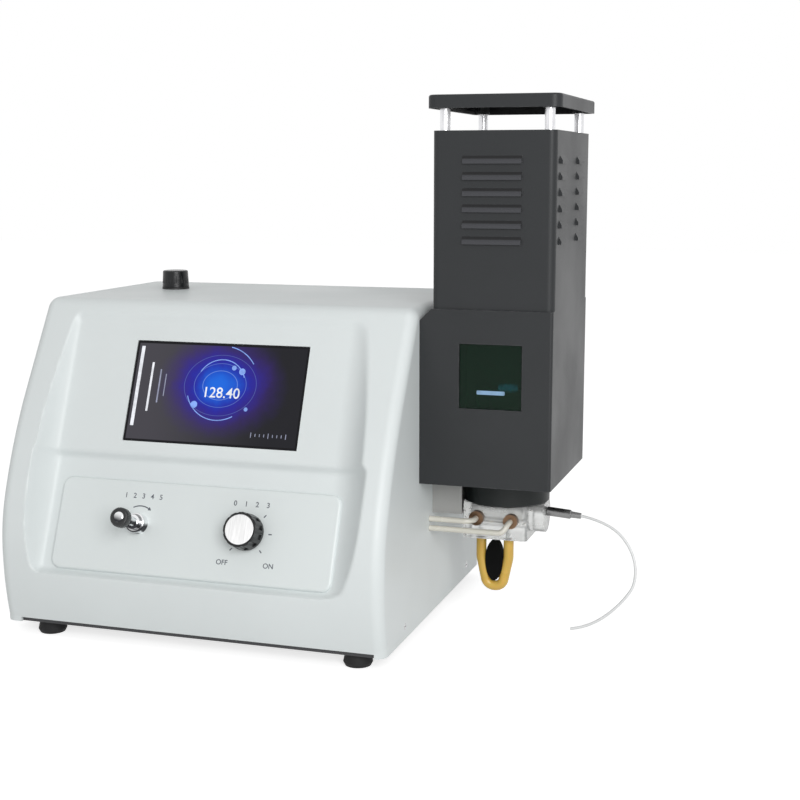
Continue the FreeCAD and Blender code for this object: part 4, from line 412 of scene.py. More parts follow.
def dust_group():
    """Thin dust that settles on faces that look up."""
    tree, give, take = new_group(
        "settled_dust", [("Amount", "NodeSocketFloat", 0.1)], [("Mask", "NodeSocketFloat")])
    surface = add_node(tree, "ShaderNodeNewGeometry")
    split = add_node(tree, "ShaderNodeSeparateXYZ")
    join(tree, surface.outputs["Normal"], split.inputs[0])
    level = map_range(tree, split.outputs["Z"], 0.55, 0.98)
    where = surface_point(tree)
    patches = map_range(tree, noise(tree, where, 45.0, 5.0, 0.7), 0.35, 0.7)
    mask = math_node(tree, "MULTIPLY", level, patches)
    join(tree, math_node(tree, "MULTIPLY", mask, give.outputs["Amount"]), take.inputs["Mask"])
    return tree


GROUPS = {
    "grain": grain_group(),
    "edges": edge_group(),
    "brushing": brushing_group(),
    "dust": dust_group(),
}


def use_group(tree, name, **values):
    node = add_node(tree, "ShaderNodeGroup")
    node.node_tree = GROUPS[name]
    for label, value in values.items():
        node.inputs[label.replace("_", " ")].default_value = value
    return node


# ---------------------------------------------------------------- materials
def start_material(name, roughness, metallic=0.0, **plain):
    """Material with one Principled shader; plain values go straight on its sockets."""
    material = bpy.data.materials.new(name)
    material.use_nodes = True
    tree = material.node_tree
    shader = tree.nodes["Principled BSDF"]
    shader.inputs["Roughness"].default_value = roughness
    shader.inputs["Metallic"].default_value = metallic
    for label, value in plain.items():
        shader.inputs[label.replace("_", " ")].default_value = value
    return material, tree, shader


def add_bump(tree, shader, height, distance):
    bump = add_node(tree, "ShaderNodeBump")
    bump.inputs["Distance"].default_value = distance
    bump.inputs["Strength"].default_value = 1.0
    join(tree, height, bump.inputs["Height"])
    join(tree, bump.outputs["Normal"], shader.inputs["Normal"])


def vary_roughness(tree, shader, surface, least_cloud, most_cloud):
    """Roughness that follows the cloudy unevenness between two values."""
    rough = map_range(tree, surface.outputs["Cloud"], 0.0, 1.0, least_cloud, most_cloud, smooth=False)
    join(tree, rough, shader.inputs["Roughness"])


def moulded(name, colour, roughness, grain=900.0, depth=0.00004, cloud=0.05, dust=0.05,
            dust_colour=(0.55, 0.54, 0.51), edge_colour=None, metallic=0.0, **plain):
    """Painted or moulded surface: grain, uneven tone, a little dust and, if told, an edge colour on rubbed
    edges, which on the tower is also a painted highlight.
    """
    material, tree, shader = start_material(name, roughness, metallic, **plain)
    surface = use_group(tree, "grain", Scale=grain)
    tone = mix_colour(tree, surface.outputs["Cloud"], dimmed(colour, 1.0 - cloud), colour)
    if edge_colour:
        edges = use_group(tree, "edges", Amount=0.6)
        tone = mix_colour(tree, edges.outputs["Mask"], tone, edge_colour)
    film = use_group(tree, "dust", Amount=dust)
    tone = mix_colour(tree, film.outputs["Mask"], tone, dust_colour)
    join(tree, tone, shader.inputs["Base Color"])
    vary_roughness(tree, shader, surface, roughness * 1.12, roughness * 0.9)
    add_bump(tree, shader, surface.outputs["Height"], depth)
    return material


def louvred_painted_shade_and_highlight(name, dark, light, colour, roughness, **finish):
    """Tower paint with its pressed front louvres: painted shade where each leaves the wall and a painted
    highlight on its lip.
    """
    material = moulded(name, colour, roughness, **finish)
    tree = material.node_tree
    tone = tree.nodes["Principled BSDF"].inputs["Base Color"]
    painted = tone.links[0].from_socket
    where = surface_point(tree)
    offset = vector_node(tree, "SUBTRACT", where, place(0.0, CHIMNEY_Y0, 0.0)).outputs[0]
    stands = vector_node(tree, "DOT_PRODUCT", offset, (0.0, -1000.0, 0.0)).outputs["Value"]
    off_wall = map_range(tree, stands, 0.05, 0.3)
    short_of_lip = map_range(tree, stands, 1.7, 1.1)
    # painted shade: darker on the slope where each louvre leaves the wall
    painted = mix_colour(tree, math_node(tree, "MULTIPLY", off_wall, short_of_lip), painted, dark)
    # painted highlight: paler on each louvre's lip
    join(tree, mix_colour(tree, map_range(tree, stands, 1.3, 1.9), painted, light), tone)
    return material


def metal(name, colour, roughness, stretch=(900.0, 900.0, 40.0)):
    """Bare, turned or plated metal with fine streaks."""
    material, tree, shader = start_material(name, roughness, 1.0)
    streaks = use_group(tree, "brushing", Stretch=stretch)
    surface = use_group(tree, "grain", Scale=300.0, Cloud_Scale=30.0)
    tone = mix_colour(tree, streaks.outputs["Streak"], dimmed(colour, 0.85), colour)
    join(tree, tone, shader.inputs["Base Color"])
    vary_roughness(tree, shader, surface, roughness * 1.25, roughness * 0.8)
    add_bump(tree, shader, streaks.outputs["Height"], 0.00001)
    return material


def plated_painted_reflection(name, dark, light, roughness):
    """Polished plating with painted reflection: painted pale above and painted dark below, with a painted
    highlight band between.
    """
    material, tree, shader = start_material(name, roughness, 1.0)
    facing = add_node(tree, "ShaderNodeTexCoord").outputs["Normal"]
    # painted reflection: the tone follows which way the face looks, pale upwards and dark downwards
    height = vector_node(tree, "DOT_PRODUCT", facing, (0.25, 0.15, 0.95)).outputs["Value"]
    surface = use_group(tree, "grain", Scale=500.0, Cloud_Scale=90.0)
    uneven = math_node(tree, "MULTIPLY_ADD", surface.outputs["Cloud"], 0.12, height)
    tone = mix_colour(tree, map_range(tree, uneven, 0.10, 0.55), dark, light)
    # painted highlight: a narrow bright band between the pale and the dark
    painted_highlight_band = math_node(tree, "ABSOLUTE", math_node(tree, "ADD", uneven, 0.62))
    tone = mix_colour(tree, map_range(tree, painted_highlight_band, 0.20, 0.05), tone, light)
    join(tree, tone, shader.inputs["Base Color"])
    add_bump(tree, shader, surface.outputs["Height"], 0.000003)
    return material


def clear(name, colour, roughness, transmission, ior=1.49):
    """Clear or tinted plastic and glass with faint smears."""
    material, tree, shader = start_material(name, roughness, IOR=ior, Transmission_Weight=transmission)
    surface = use_group(tree, "grain", Scale=120.0, Cloud_Scale=60.0)
    tone = mix_colour(tree, surface.outputs["Cloud"], dimmed(colour, 0.94), colour)
    join(tree, tone, shader.inputs["Base Color"])
    vary_roughness(tree, shader, surface, roughness, roughness + 0.06)
    add_bump(tree, shader, surface.outputs["Height"], 0.00002)
    return material


def panel_coordinates(tree):
    """Across and up the slope of the leaning panel, in millimetres from the glass's middle."""
    where = surface_point(tree)
    middle = place(GLASS_U, PANEL_Y, PANEL_Z)
    offset = vector_node(tree, "SUBTRACT", where, middle).outputs[0]
    across = vector_node(tree, "DOT_PRODUCT", offset, (1000.0, 0.0, 0.0)).outputs["Value"]
    rise = vector_node(tree, "DOT_PRODUCT", offset, PANEL_UP * 1000.0).outputs["Value"]
    return across, rise


def ring_mask(tree, distance, radius, width):
    off = math_node(tree, "ABSOLUTE", math_node(tree, "SUBTRACT", distance, radius))
    return map_range(tree, off, width, 0.0)


def screen_glass():
    """Display seen through its glass: grey ground, a blue glow with rings, and a black border."""
    material, tree, shader = start_material("display_glass", 0.12, IOR=1.5, Specular_IOR_Level=0.12)
    across, rise = panel_coordinates(tree)
    dx = math_node(tree, "SUBTRACT", across, GLOW_U)
    dy = math_node(tree, "SUBTRACT", rise, GLOW_V)
    spread = math_node(tree, "POWER", math_node(tree, "MULTIPLY", dx, 0.8), 2.0)
    distance = math_node(tree, "SQRT", math_node(tree, "ADD", spread, math_node(tree, "POWER", dy, 2.0)))
    where = surface_point(tree)
    cloud = noise(tree, where, 55.0, 4.0, 0.6)
    ragged = math_node(tree, "ADD", distance, math_node(tree, "MULTIPLY", cloud, 14.0))
    violet = map_range(tree, ragged, 60.0, 24.0)
    blue = map_range(tree, ragged, 46.0, 16.0)
    core = map_range(tree, ragged, 30.0, 10.0)
    tone = mix_colour(tree, map_range(tree, across, -70.0, 60.0), (0.058, 0.055, 0.066),
                      (0.012, 0.012, 0.015))
    tone = mix_colour(tree, violet, tone, (0.040, 0.012, 0.190))
    tone = mix_colour(tree, blue, tone, (0.004, 0.020, 0.420))
    tone = mix_colour(tree, math_node(tree, "MULTIPLY", core, 0.65), tone, (0.01, 0.20, 0.90))
    for radius, width, share in ((13.0, 0.45, 0.45), (19.5, 0.35, 0.35), (27.0, 0.3, 0.25)):
        mask = math_node(tree, "MULTIPLY", ring_mask(tree, distance, radius, width), share)
        tone = mix_colour(tree, mask, tone, (0.35, 0.55, 1.0))
    side = map_range(tree, math_node(tree, "ABSOLUTE", across), 79.6, 79.2)
    ends = map_range(tree, math_node(tree, "ABSOLUTE", rise), 43.4, 43.0)
    inside = math_node(tree, "MULTIPLY", side, ends)
    tone = mix_colour(tree, inside, (0.004, 0.004, 0.005), tone)
    join(tree, tone, shader.inputs["Emission Color"])
    shader.inputs["Emission Strength"].default_value = 1.0
    shader.inputs["Base Color"].default_value = (0.004, 0.004, 0.005, 1.0)
    smear = use_group(tree, "grain", Scale=90.0, Cloud_Scale=25.0)
    vary_roughness(tree, shader, smear, 0.09, 0.2)
    return material


def glowing(name, colour, strength):
    """Lit mark of a display or a flame, and the painted glow of the sight glass's level line; a little
    uneven along its length.
    """
    material, tree, shader = start_material(name, 0.4)
    surface = use_group(tree, "grain", Scale=400.0, Cloud_Scale=160.0)
    tone = mix_colour(tree, surface.outputs["Cloud"], dimmed(colour, 0.72), colour)
    join(tree, tone, shader.inputs["Emission Color"])
    shader.inputs["Emission Strength"].default_value = strength
    shader.inputs["Base Color"].default_value = (0.02, 0.02, 0.02, 1.0)
    return material


def make_materials():
    white_dust = (0.62, 0.62, 0.60)
    # the tower's paler edge colour is rubbed paint and also a painted highlight on its edges
    tower_finish = dict(grain=1100.0, depth=0.00006, cloud=0.14, dust=0.06, dust_colour=(0.07, 0.07, 0.07),
                        edge_colour=(0.11, 0.11, 0.115), Specular_IOR_Level=0.28)
    return {
        "shell": moulded("satin_shell", (0.715, 0.757, 0.757), 0.42, grain=700.0, depth=0.00003,
                         cloud=0.025, dust=0.04, dust_colour=white_dust, Specular_IOR_Level=0.4),
        "tray": moulded("dark_tray_paint", (0.035, 0.035, 0.038), 0.5, grain=1100.0),
        "rear": moulded("grey_rear_paint", (0.56, 0.58, 0.59), 0.45, grain=1300.0,
                        edge_colour=(0.42, 0.42, 0.42)),
        "rubber": moulded("foot_rubber", (0.016, 0.016, 0.017), 0.7, grain=500.0, depth=0.00008, cloud=0.3,
                          dust=0.15, dust_colour=(0.12, 0.12, 0.11), Specular_IOR_Level=0.3),
        "screw": metal("screw_steel", (0.52, 0.52, 0.53), 0.32),
        "plate": moulded("control_film", (0.715, 0.760, 0.757), 0.36, grain=1500.0, depth=0.000012,
                         cloud=0.02, dust=0.02, dust_colour=white_dust, Specular_IOR_Level=0.4),
        "screen": screen_glass(),
        "module": metal("module_plate", (0.60, 0.60, 0.60), 0.4),
        "board": moulded("solder_mask", (0.015, 0.11, 0.045), 0.35, grain=400.0, cloud=0.25),
        "supply": metal("supply_case", (0.58, 0.59, 0.60), 0.45),
        "black": moulded("black_plastic", (0.012, 0.012, 0.013), 0.5, grain=1000.0, cloud=0.2, dust=0.08,
                         dust_colour=(0.16, 0.16, 0.16)),
        "port": metal("plated_port", (0.60, 0.60, 0.60), 0.3),
        "brass": metal("turned_brass", (0.72, 0.52, 0.24), 0.28),
        "copper": metal("drawn_copper", (0.75, 0.42, 0.28), 0.3),
        "pipe": moulded("pale_tube", (0.70, 0.68, 0.60), 0.28, grain=500.0, depth=0.00002, cloud=0.12,
                        Specular_IOR_Level=0.7),
        # painted reflection on the gas knob and the panel nuts
        "chrome": plated_painted_reflection("knob_chrome", (0.035, 0.036, 0.040), (0.86, 0.87, 0.88), 0.12),
        "knob": moulded("knob_black", (0.005, 0.006, 0.007), 0.26, grain=1100.0, depth=0.00002, cloud=0.2,
                        dust=0.03, dust_colour=(0.10, 0.10, 0.10), Specular_IOR_Level=0.4),
        "cap": metal("spun_cap", (0.92, 0.92, 0.92), 0.38, stretch=(1200.0, 60.0, 60.0)),
        "rod": metal("ground_rod", (0.60, 0.60, 0.61), 0.25),
        "alloy": moulded("cast_alloy", (0.45, 0.45, 0.45), 0.5, grain=600.0, depth=0.0001, metallic=1.0),
        "lead": moulded("lead_rubber", (0.28, 0.02, 0.02), 0.5, grain=700.0),
        "ceramic": moulded("glazed_ceramic", (0.80, 0.79, 0.75), 0.18, grain=200.0, depth=0.00002),
        "optic": moulded("black_anodised", (0.020, 0.020, 0.021), 0.45, grain=1400.0, metallic=0.4),
        "lens": clear("lens_glass", (0.95, 0.97, 0.97), 0.02, 1.0, ior=1.52),
        "filter": clear("filter_glass", (0.75, 0.32, 0.06), 0.03, 0.9, ior=1.52),
        "diode": metal("diode_can", (0.62, 0.61, 0.58), 0.3),
        "tower": moulded("tower_paint", TOWER_COLOUR, 0.42, **tower_finish),
        # painted shade and painted highlight on the chimney's louvres
        "chimney": louvred_painted_shade_and_highlight("louvre_paint_painted_shade_and_highlight", (0.010, 0.010, 0.011), (0.048, 0.049, 0.055), TOWER_COLOUR,
                           0.42, **tower_finish),
        "window": clear("dark_green_glass", (0.020, 0.085, 0.045), 0.03, 0.85, ior=1.2),
        "post": metal("bright_post", (0.86, 0.86, 0.88), 0.24, stretch=(700.0, 700.0, 90.0)),
        "base": moulded("base_anodised", (0.012, 0.015, 0.015), 0.45, grain=1500.0, cloud=0.15,
                        Specular_IOR_Level=0.25),
        "burner": metal("burner_steel", (0.50, 0.49, 0.47), 0.38),
        "bracket": moulded("bracket_paint", (0.36, 0.36, 0.35), 0.42, grain=1200.0,
                           edge_colour=(0.5, 0.5, 0.5)),
        "chamber": clear("chamber_plastic", (0.86, 0.87, 0.86), 0.12, 0.72),
        "ring": moulded("dark_bronze", (0.20, 0.12, 0.07), 0.3, grain=700.0, metallic=0.8, cloud=0.3),
        "nebuliser": metal("nebuliser_steel", (0.24, 0.24, 0.24), 0.3),
        "drain": moulded("amber_tube", (0.66, 0.42, 0.075), 0.3, grain=500.0, cloud=0.22,
                         Subsurface_Weight=0.2, Subsurface_Scale=0.003),
        "core": moulded("matt_core", (0.002, 0.002, 0.002), 0.85, grain=600.0, cloud=0.3, dust=0.0,
                        Specular_IOR_Level=0.1),
        "capillary": moulded("capillary_tube", (0.78, 0.79, 0.79), 0.3, grain=500.0, cloud=0.08),
        "print": moulded("printed_grey", (0.10, 0.11, 0.13), 0.5, grain=1500.0),
        "lit_white": glowing("lit_white", (0.90, 0.92, 0.98), 1.0),
        "lit_pale": glowing("lit_pale", (0.30, 0.32, 0.45), 1.0),
        "lit_blue": glowing("lit_blue", (0.22, 0.40, 0.95), 1.0),
        "flame": glowing("flame_blue", (0.10, 0.32, 0.85), 1.6),
        # painted glow: the sight glass's level line gives off light
        "level_line_painted_glow": glowing("level_line_painted_glow", (0.20, 0.36, 0.55), 1.0),
        # black of the gas knob's milled rim, also a painted dark reflection of the plating
        "grip": moulded("grip_black_and_painted_reflection", (0.010, 0.011, 0.012), 0.34, grain=1400.0, depth=0.00003, cloud=0.2),
    }


FINISHES = {
    "rubber": ["feet"],
    "screw": ["foot_screws", "panel_screws", "cap_screws"],
    "tray": ["base_tray"],
    "shell": ["cover_shell"],
    "rear": ["rear_panel"],
    "plate": ["control_plate"],
    "screen": ["touch_glass"],
    "module": ["display_module"],
    "board": ["display_board", "main_board"],
    "supply": ["power_supply"],
    "black": ["power_inlet", "power_rocker", "regulator_ring", "igniter_module"],
    "port": ["data_port"],
    "brass": ["hose_barbs", "flame_safety_valve", "needle_valve_body", "lpg_valve_body", "lpg_plug"],
    "copper": ["gas_pipes"],
    "pipe": ["gas_burner_pipe", "air_inlet_pipe", "air_burner_pipe"],
    "chrome": ["panel_nuts", "gas_knob"],
    "rod": ["gas_spindle", "gas_needle", "lpg_stem", "regulator_screw"],
    "knob": ["lpg_knob", "regulator_knob"],
    "cap": ["lpg_knob_cap"],
    "alloy": ["regulator_body"],
    "lead": ["igniter_lead"],
    "ceramic": ["igniter_electrode"],
    "optic": ["detector_block"],
    "lens": ["collector_lens", "beam_splitter"],
    "filter": ["light_filters"],
    "diode": ["photodiodes"],
    "tower": ["burner_housing", "chimney_cap"],
    "chimney": ["chimney"],
    "window": ["window_glass"],
    "post": ["chimney_posts"],
    "base": ["burner_base"],
    "burner": ["burner_head"],
    "bracket": ["burner_bracket"],
    "chamber": ["mixing_chamber"],
    "ring": ["chamber_fittings"],
    "nebuliser": ["nebuliser"],
    "drain": ["drain_tube"],
    "core": ["drain_former"],
}


def dress_nodes(materials):
    for finish, names in FINISHES.items():
        for name in names:
            piece = NODES[name]
            piece.data.materials.clear()
            piece.data.materials.append(materials[finish])


# ---------------------------------------------------------------- mesh helpers
def add_piece(name, mesh, body, material):
    piece = add_object(name, mesh)
    mesh.materials.clear()
    mesh.materials.append(material)
    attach(piece, body)
    return piece


def applied(piece, name):
    """The piece's mesh with its modifiers applied, as new mesh data."""
    view = bpy.context.evaluated_depsgraph_get()
    view.update()
    mesh = bpy.data.meshes.new_from_object(piece.evaluated_get(view), depsgraph=view)
    mesh.name = name
    return mesh


def discard(*helpers):
    for helper in helpers:
        bpy.data.objects.remove(helper, do_unlink=True)


def mesh_of(work, name):
    """The work's faces as mesh data; the work is freed."""
    mesh = bpy.data.meshes.new(name)
    work.to_mesh(mesh)
    work.free()
    return mesh


def cut_away(solid, cutters, name, crossing=False):
    """The solid less its cutters, as new mesh data; both are discarded."""
    cut = solid.modifiers.new("cut", "BOOLEAN")
    cut.operation = "DIFFERENCE"
    cut.solver = "EXACT"
    cut.use_self = crossing
    cut.object = cutters
    mesh = applied(solid, name)
    discard(solid, cutters)
    return mesh


def even_shading(piece):
    """Smooth faces shaded by their size, so that the flat ones look flat."""
    even = piece.modifiers.new("even_shading", "WEIGHTED_NORMAL")
    even.keep_sharp = True


def smooth_by_angle(mesh, degrees):
    """Smooth shading, with the edges sharper than this angle kept hard."""
    work = bmesh.new()
    work.from_mesh(mesh)
    limit = math.radians(degrees)
    for face in work.faces:
        face.smooth = True
    for edge in work.edges:
        edge.smooth = len(edge.link_faces) == 2 and edge.calc_face_angle() < limit
    work.to_mesh(mesh)
    work.free()


def smooth_step(value, low, high):
    share = np.clip((value - low) / (high - low), 0.0, 1.0)
    return share * share * (3.0 - 2.0 * share)


def soft_min(first, second, reach):
    """The lower of two heights, with the crease between them rounded over its reach."""
    blend = np.maximum(reach - np.abs(first - second), 0.0) / reach
    return np.minimum(first, second) - blend * blend * reach / 4.0


def outside_rounded(u, v, u0, u1, v0, v1, radius):
    """Signed distance outside a rounded rectangle, negative inside."""
    du = np.abs(u - (u0 + u1) / 2.0) - (u1 - u0) / 2.0 + radius
    dv = np.abs(v - (v0 + v1) / 2.0) - (v1 - v0) / 2.0 + radius
    beyond = np.hypot(np.maximum(du, 0.0), np.maximum(dv, 0.0))
    return beyond + np.minimum(np.maximum(du, dv), 0.0) - radius


# ---------------------------------------------------------------- case shell
def arc_points(centre_y, centre_z, radius, angle0, angle1, step):
    """Points of the case's side profile on an arc, each with its outward angle."""
    length = radius * math.radians(abs(angle1 - angle0))
    count = max(2, int(round(length / step)))
    points = []
    for index in range(count + 1):
        angle = angle0 + (angle1 - angle0) * index / count
        turn = math.radians(angle)
        points.append((centre_y - radius * math.cos(turn), centre_z + radius * math.sin(turn), angle))
    return points


def line_points(start, end, angle, step):
    length = math.hypot(end[0] - start[0], end[1] - start[1])
    count = max(1, int(round(length / step)))
    run_y = (end[0] - start[0]) / count
    run_z = (end[1] - start[1]) / count
    return [(start[0] + run_y * index, start[1] + run_z * index, angle) for index in range(1, count)]


def side_profile():
    """The case's outline from its lower front edge over the top to its lower back edge."""
    base = CASE_Z + BULGE_H
    bend = math.radians(BEND_ANGLE)
    slope = math.radians(SLOPE_ANGLE)
    low_angle = -math.degrees(math.asin(BULGE_H / BULGE_R))
    bend_y = BULGE_Y + BEND_R
    slack_y = bend_y + (SLACK_R - BEND_R) * math.cos(bend)
    slack_z = base - (SLACK_R - BEND_R) * math.sin(bend)
    points = arc_points(BULGE_Y + BULGE_R, base, BULGE_R, low_angle, 0.0, 1.4)
    points.insert(0, (points[0][0], FOOT_H, 0.0))
    points += arc_points(bend_y, base, BEND_R, 0.0, BEND_ANGLE, 1.6)[1:]
    points += arc_points(slack_y, slack_z, SLACK_R, BEND_ANGLE, SLOPE_ANGLE, 1.8)[1:]
    end_y, end_z, _ = points[-1]
    level = math.sin(slope) * end_z - math.cos(slope) * end_y
    round_z = CASE_TOP - TOP_FRONT_R
    round_y = (math.sin(slope) * round_z - (level - TOP_FRONT_R)) / math.cos(slope)
    edge = arc_points(round_y, round_z, TOP_FRONT_R, SLOPE_ANGLE, 90.0, 1.4)
    points += line_points(points[-1], edge[0], SLOPE_ANGLE, 1.6) + edge
    back_edge = arc_points(CASE_D - TOP_BACK_R, CASE_TOP - TOP_BACK_R, TOP_BACK_R, 90.0, 180.0, 3.0)
    points += line_points(edge[-1], back_edge[0], 90.0, 12.0) + back_edge
    points += line_points(back_edge[-1], (CASE_D, FOOT_H), 180.0, 16.0) + [(CASE_D, FOOT_H, 180.0)]
    return np.array(points)


def across_lines():
    """Places across the case where the shell's mesh has a line, closer together at the walls."""
    turns = [math.radians(90.0 * index / EDGE_STEPS) for index in range(EDGE_STEPS + 1)]
    edge = [SIDE_EDGE_R * (1.0 - math.cos(turn)) for turn in turns]
    left_end = RECESS_LEFT + LEFT_RUN + PILLOW_R
    right_start = CASE_W - RECESS_RIGHT - RIGHT_RUN - PILLOW_R
    left = list(np.arange(SIDE_EDGE_R + FINE_STEP, left_end, FINE_STEP))
    middle = list(np.arange(left_end, right_start, COARSE_STEP))
    right = list(np.arange(right_start, CASE_W - SIDE_EDGE_R - FINE_STEP / 2.0, FINE_STEP))
    far_edge = [CASE_W - value for value in reversed(edge)]
    return np.array(edge + left + middle + right + far_edge)


def panel_depth(u, v):
    """How far out the sunk area's floor stands: the field round the display stands proud of it."""
    field = outside_rounded(u, v, RECESS_LEFT - PILLOW_BEYOND, CASE_W - RECESS_RIGHT + PILLOW_BEYOND,
                            PILLOW_LOW, RECESS_HIGH + 60.0, PILLOW_R)
    return -FLOOR_DEPTH + FLOOR_DEPTH * smooth_step(-field, 0.0, PILLOW_STEP)


def run_share(beyond, run):
    """How far up its run a wall is at a distance beyond the sunk area's edge."""
    return np.maximum(beyond - RECESS_SPREAD + run, 0.0) / run


def recess_wall(u, v):
    """Height of the sunk area's walls, which curve up from its floor and go on rising."""
    left = run_share(RECESS_LEFT - u, LEFT_RUN)
    right = run_share(u - (CASE_W - RECESS_RIGHT), RIGHT_RUN)
    low = run_share(RECESS_LOW - v, LOW_RUN)
    high = run_share(v - RECESS_HIGH, HIGH_RUN)
    return -FLOOR_DEPTH + FLOOR_DEPTH * ((left ** 2 + right ** 2) + (low ** 2 + high ** 2))


def shell_points():
    """Outer face of the shell as a grid of points, rows up the profile and columns across."""
    profile = side_profile()
    x = across_lines()
    nearest = np.minimum(np.minimum(x, CASE_W - x), SIDE_EDGE_R)
    inset = SIDE_EDGE_R - np.sqrt(np.maximum(SIDE_EDGE_R ** 2 - (SIDE_EDGE_R - nearest) ** 2, 0.0))
    turn = np.radians(profile[:, 2])[:, None]
    y = profile[:, 0][:, None] + np.cos(turn) * inset[None, :]
    z = profile[:, 1][:, None] - np.sin(turn) * inset[None, :]
    u = np.broadcast_to(x[None, :], y.shape)
    out_y, out_z = PANEL_OUT.y, PANEL_OUT.z
    v = (y - PANEL_Y) * PANEL_UP.y + (z - PANEL_Z) * PANEL_UP.z
    w = (y - PANEL_Y) * out_y + (z - PANEL_Z) * out_z
    relief = panel_depth(u, v) + FLOOR_DEPTH
    sunk = soft_min(w, recess_wall(u, v) + relief, CREST_SOFT)
    front = (profile[:, 2] < 120.0)[:, None]
    change = np.where(front, sunk - w, 0.0)
    return np.stack([u, y + change * out_y, z + change * out_z], axis=-1)


def shell_sheet():
    """Mesh of the shell's outer skin: the grid and its two flat sides."""
    grid = shell_points()
    rows, columns = grid.shape[:2]
    work = bmesh.new()
    verts = [[work.verts.new(place(*point)) for point in line] for line in grid]
    for row in range(rows - 1):
        for column in range(columns - 1):
            work.faces.new((verts[row][column], verts[row][column + 1],
                            verts[row + 1][column + 1], verts[row + 1][column]))
    work.faces.new([verts[row][0] for row in range(rows)])
    work.faces.new([verts[row][-1] for row in reversed(range(rows))])
    bmesh.ops.remove_doubles(work, verts=work.verts, dist=1e-7)
    return mesh_of(work, "shell_sheet")


def box_cutter(work, low, high, matrix=None):
    """Box cutter between two corners in metres."""
    made = bmesh.ops.create_cube(work, size=1.0)["verts"]
    low = Vector(low)
    high = Vector(high)
    for vert in made:
        vert.co = Vector([low[axis] if vert.co[axis] < 0.0 else high[axis] for axis in range(3)])
        if matrix:
            vert.co = matrix @ vert.co


def rod_cutter(work, start, axis, radius, length, end_radius=None):
    """Round cutter from start along axis, in metres."""
    turn = UPRIGHT.rotation_difference(axis).to_matrix().to_4x4()
    matrix = Matrix.Translation(start + axis * (length / 2.0)) @ turn
    bmesh.ops.create_cone(work, cap_ends=True, segments=48, radius1=radius, depth=length, matrix=matrix,
                          radius2=radius if end_radius is None else end_radius)


def panel_hole_cutters(work):
    """Round cutters for the bushes of the two valves."""
    for u in (GAS_U, LPG_U):
        rod_cutter(work, on_panel(u, SPINDLE_V, -30.0), PANEL_OUT, BUSH_R / 1000.0, 0.04)


def side_screw_cutters(work):
    """Countersunk screw holes low on the case's two sides."""
    for y in (SIDE_SCREW_FROM_FRONT, CASE_D - SIDE_SCREW_FROM_BACK):
        for x, inward in ((-0.5, SIDEWAYS), (CASE_W + 0.5, -SIDEWAYS)):
            start = place(x, y, CASE_Z + SIDE_SCREW_UP)
            rod_cutter(work, start, inward, SCREW_HEAD_R / 1000.0 + 0.0005, 0.0021, SCREW_R / 1000.0)
            rod_cutter(work, start + inward * 0.002, inward, SCREW_R / 1000.0, 0.006)


def shell_cutters():
    """All openings of the shell: glass, bushes, regulator, tray notch, back, tower side, screws."""
    work = bmesh.new()
    half_w = (GLASS_W / 2.0 + FIT_GAP) / 1000.0
    half_h = (GLASS_H / 2.0 + FIT_GAP) / 1000.0
    box_cutter(work, (-half_w, -half_h, -0.03), (half_w, half_h, 0.01), panel_matrix(GLASS_U, 0.0, 0.0))
    panel_hole_cutters(work)
    rod_cutter(work, place(REG_X, REG_Y, CASE_TOP - 20.0), UPRIGHT, REG_NECK_R / 1000.0, 0.04)
    front = side_profile()[0][0]
    box_cutter(work, place(TRAY_SHOWS_LEFT, front - 10.0, FOOT_H - 1.0),
               place(CASE_W - TRAY_SHOWS_RIGHT, front + 2.0 * WALL, CASE_Z))
    box_cutter(work, place(BACK_LIP, CASE_D - 2.0 * WALL, FOOT_H - 5.0),
               place(CASE_W - BACK_LIP, CASE_D + 2.0, BACK_OPEN_TOP))
    for y, z, radius in ((BURNER_Y, OPTIC_Z, LIGHT_PORT_R), (PIPE_Y, GAS_PIPE_Z, PIPE_R + PASS_GAP),
                         (PIPE_Y, AIR_PIPE_Z, PIPE_R + PASS_GAP), (LEAD_Y, LEAD_Z, LEAD_R + PASS_GAP)):
        rod_cutter(work, place(CASE_W - 10.0, y, z), SIDEWAYS, radius / 1000.0, 0.02)
    side_screw_cutters(work)
    return mesh_of(work, "shell_cutters")


def add_shell(material):
    """Moulded case shell with soft edges: skin, wall thickness and openings."""
    sheet = add_object("shell_sheet", shell_sheet())
    wall = sheet.modifiers.new("wall", "SOLIDIFY")
    wall.thickness = WALL / 1000.0
    wall.offset = -1.0
    wall.use_rim = True
    solid = add_object("shell_solid", applied(sheet, "shell_solid"))
    discard(sheet)
    mesh = cut_away(solid, add_object("shell_cutters", shell_cutters()), "case_shell", crossing=True)
    smooth_by_angle(mesh, 38.0)
    shell = add_piece("case_shell", mesh, "instrument", material)
    even_shading(shell)
    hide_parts("cover_shell")


# ---------------------------------------------------------------- control plate, gas knob, sight line
def round_point(radius, turn, u=0.0, v=0.0):
    """Point at a radius and a turn round a middle."""
    return u + radius * math.cos(turn), v + radius * math.sin(turn)


def rounded_outline(u0, u1, v0, v1, radius, steps=8):
    """Points round a rounded rectangle, anticlockwise."""
    points = []
    for centre_u, centre_v, start in ((u1 - radius, v1 - radius, 0.0), (u0 + radius, v1 - radius, 90.0),
                                      (u0 + radius, v0 + radius, 180.0), (u1 - radius, v0 + radius, 270.0)):
        for index in range(steps + 1):
            turn = math.radians(start + 90.0 * index / steps)
            points.append(round_point(radius, turn, centre_u, centre_v))
    return points


def skin_rings(work, rings):
    """Closed skin over a stack of rings with equal numbers of points, capped at both ends."""
    verts = [[work.verts.new(point) for point in ring] for ring in rings]
    count = len(verts[0])
    for low, high in zip(verts, verts[1:]):
        for index in range(count):
            after = (index + 1) % count
            work.faces.new((low[index], low[after], high[after], high[index]))
    work.faces.new(list(reversed(verts[0])))
    work.faces.new(verts[-1])
    bmesh.ops.recalc_face_normals(work, faces=work.faces)


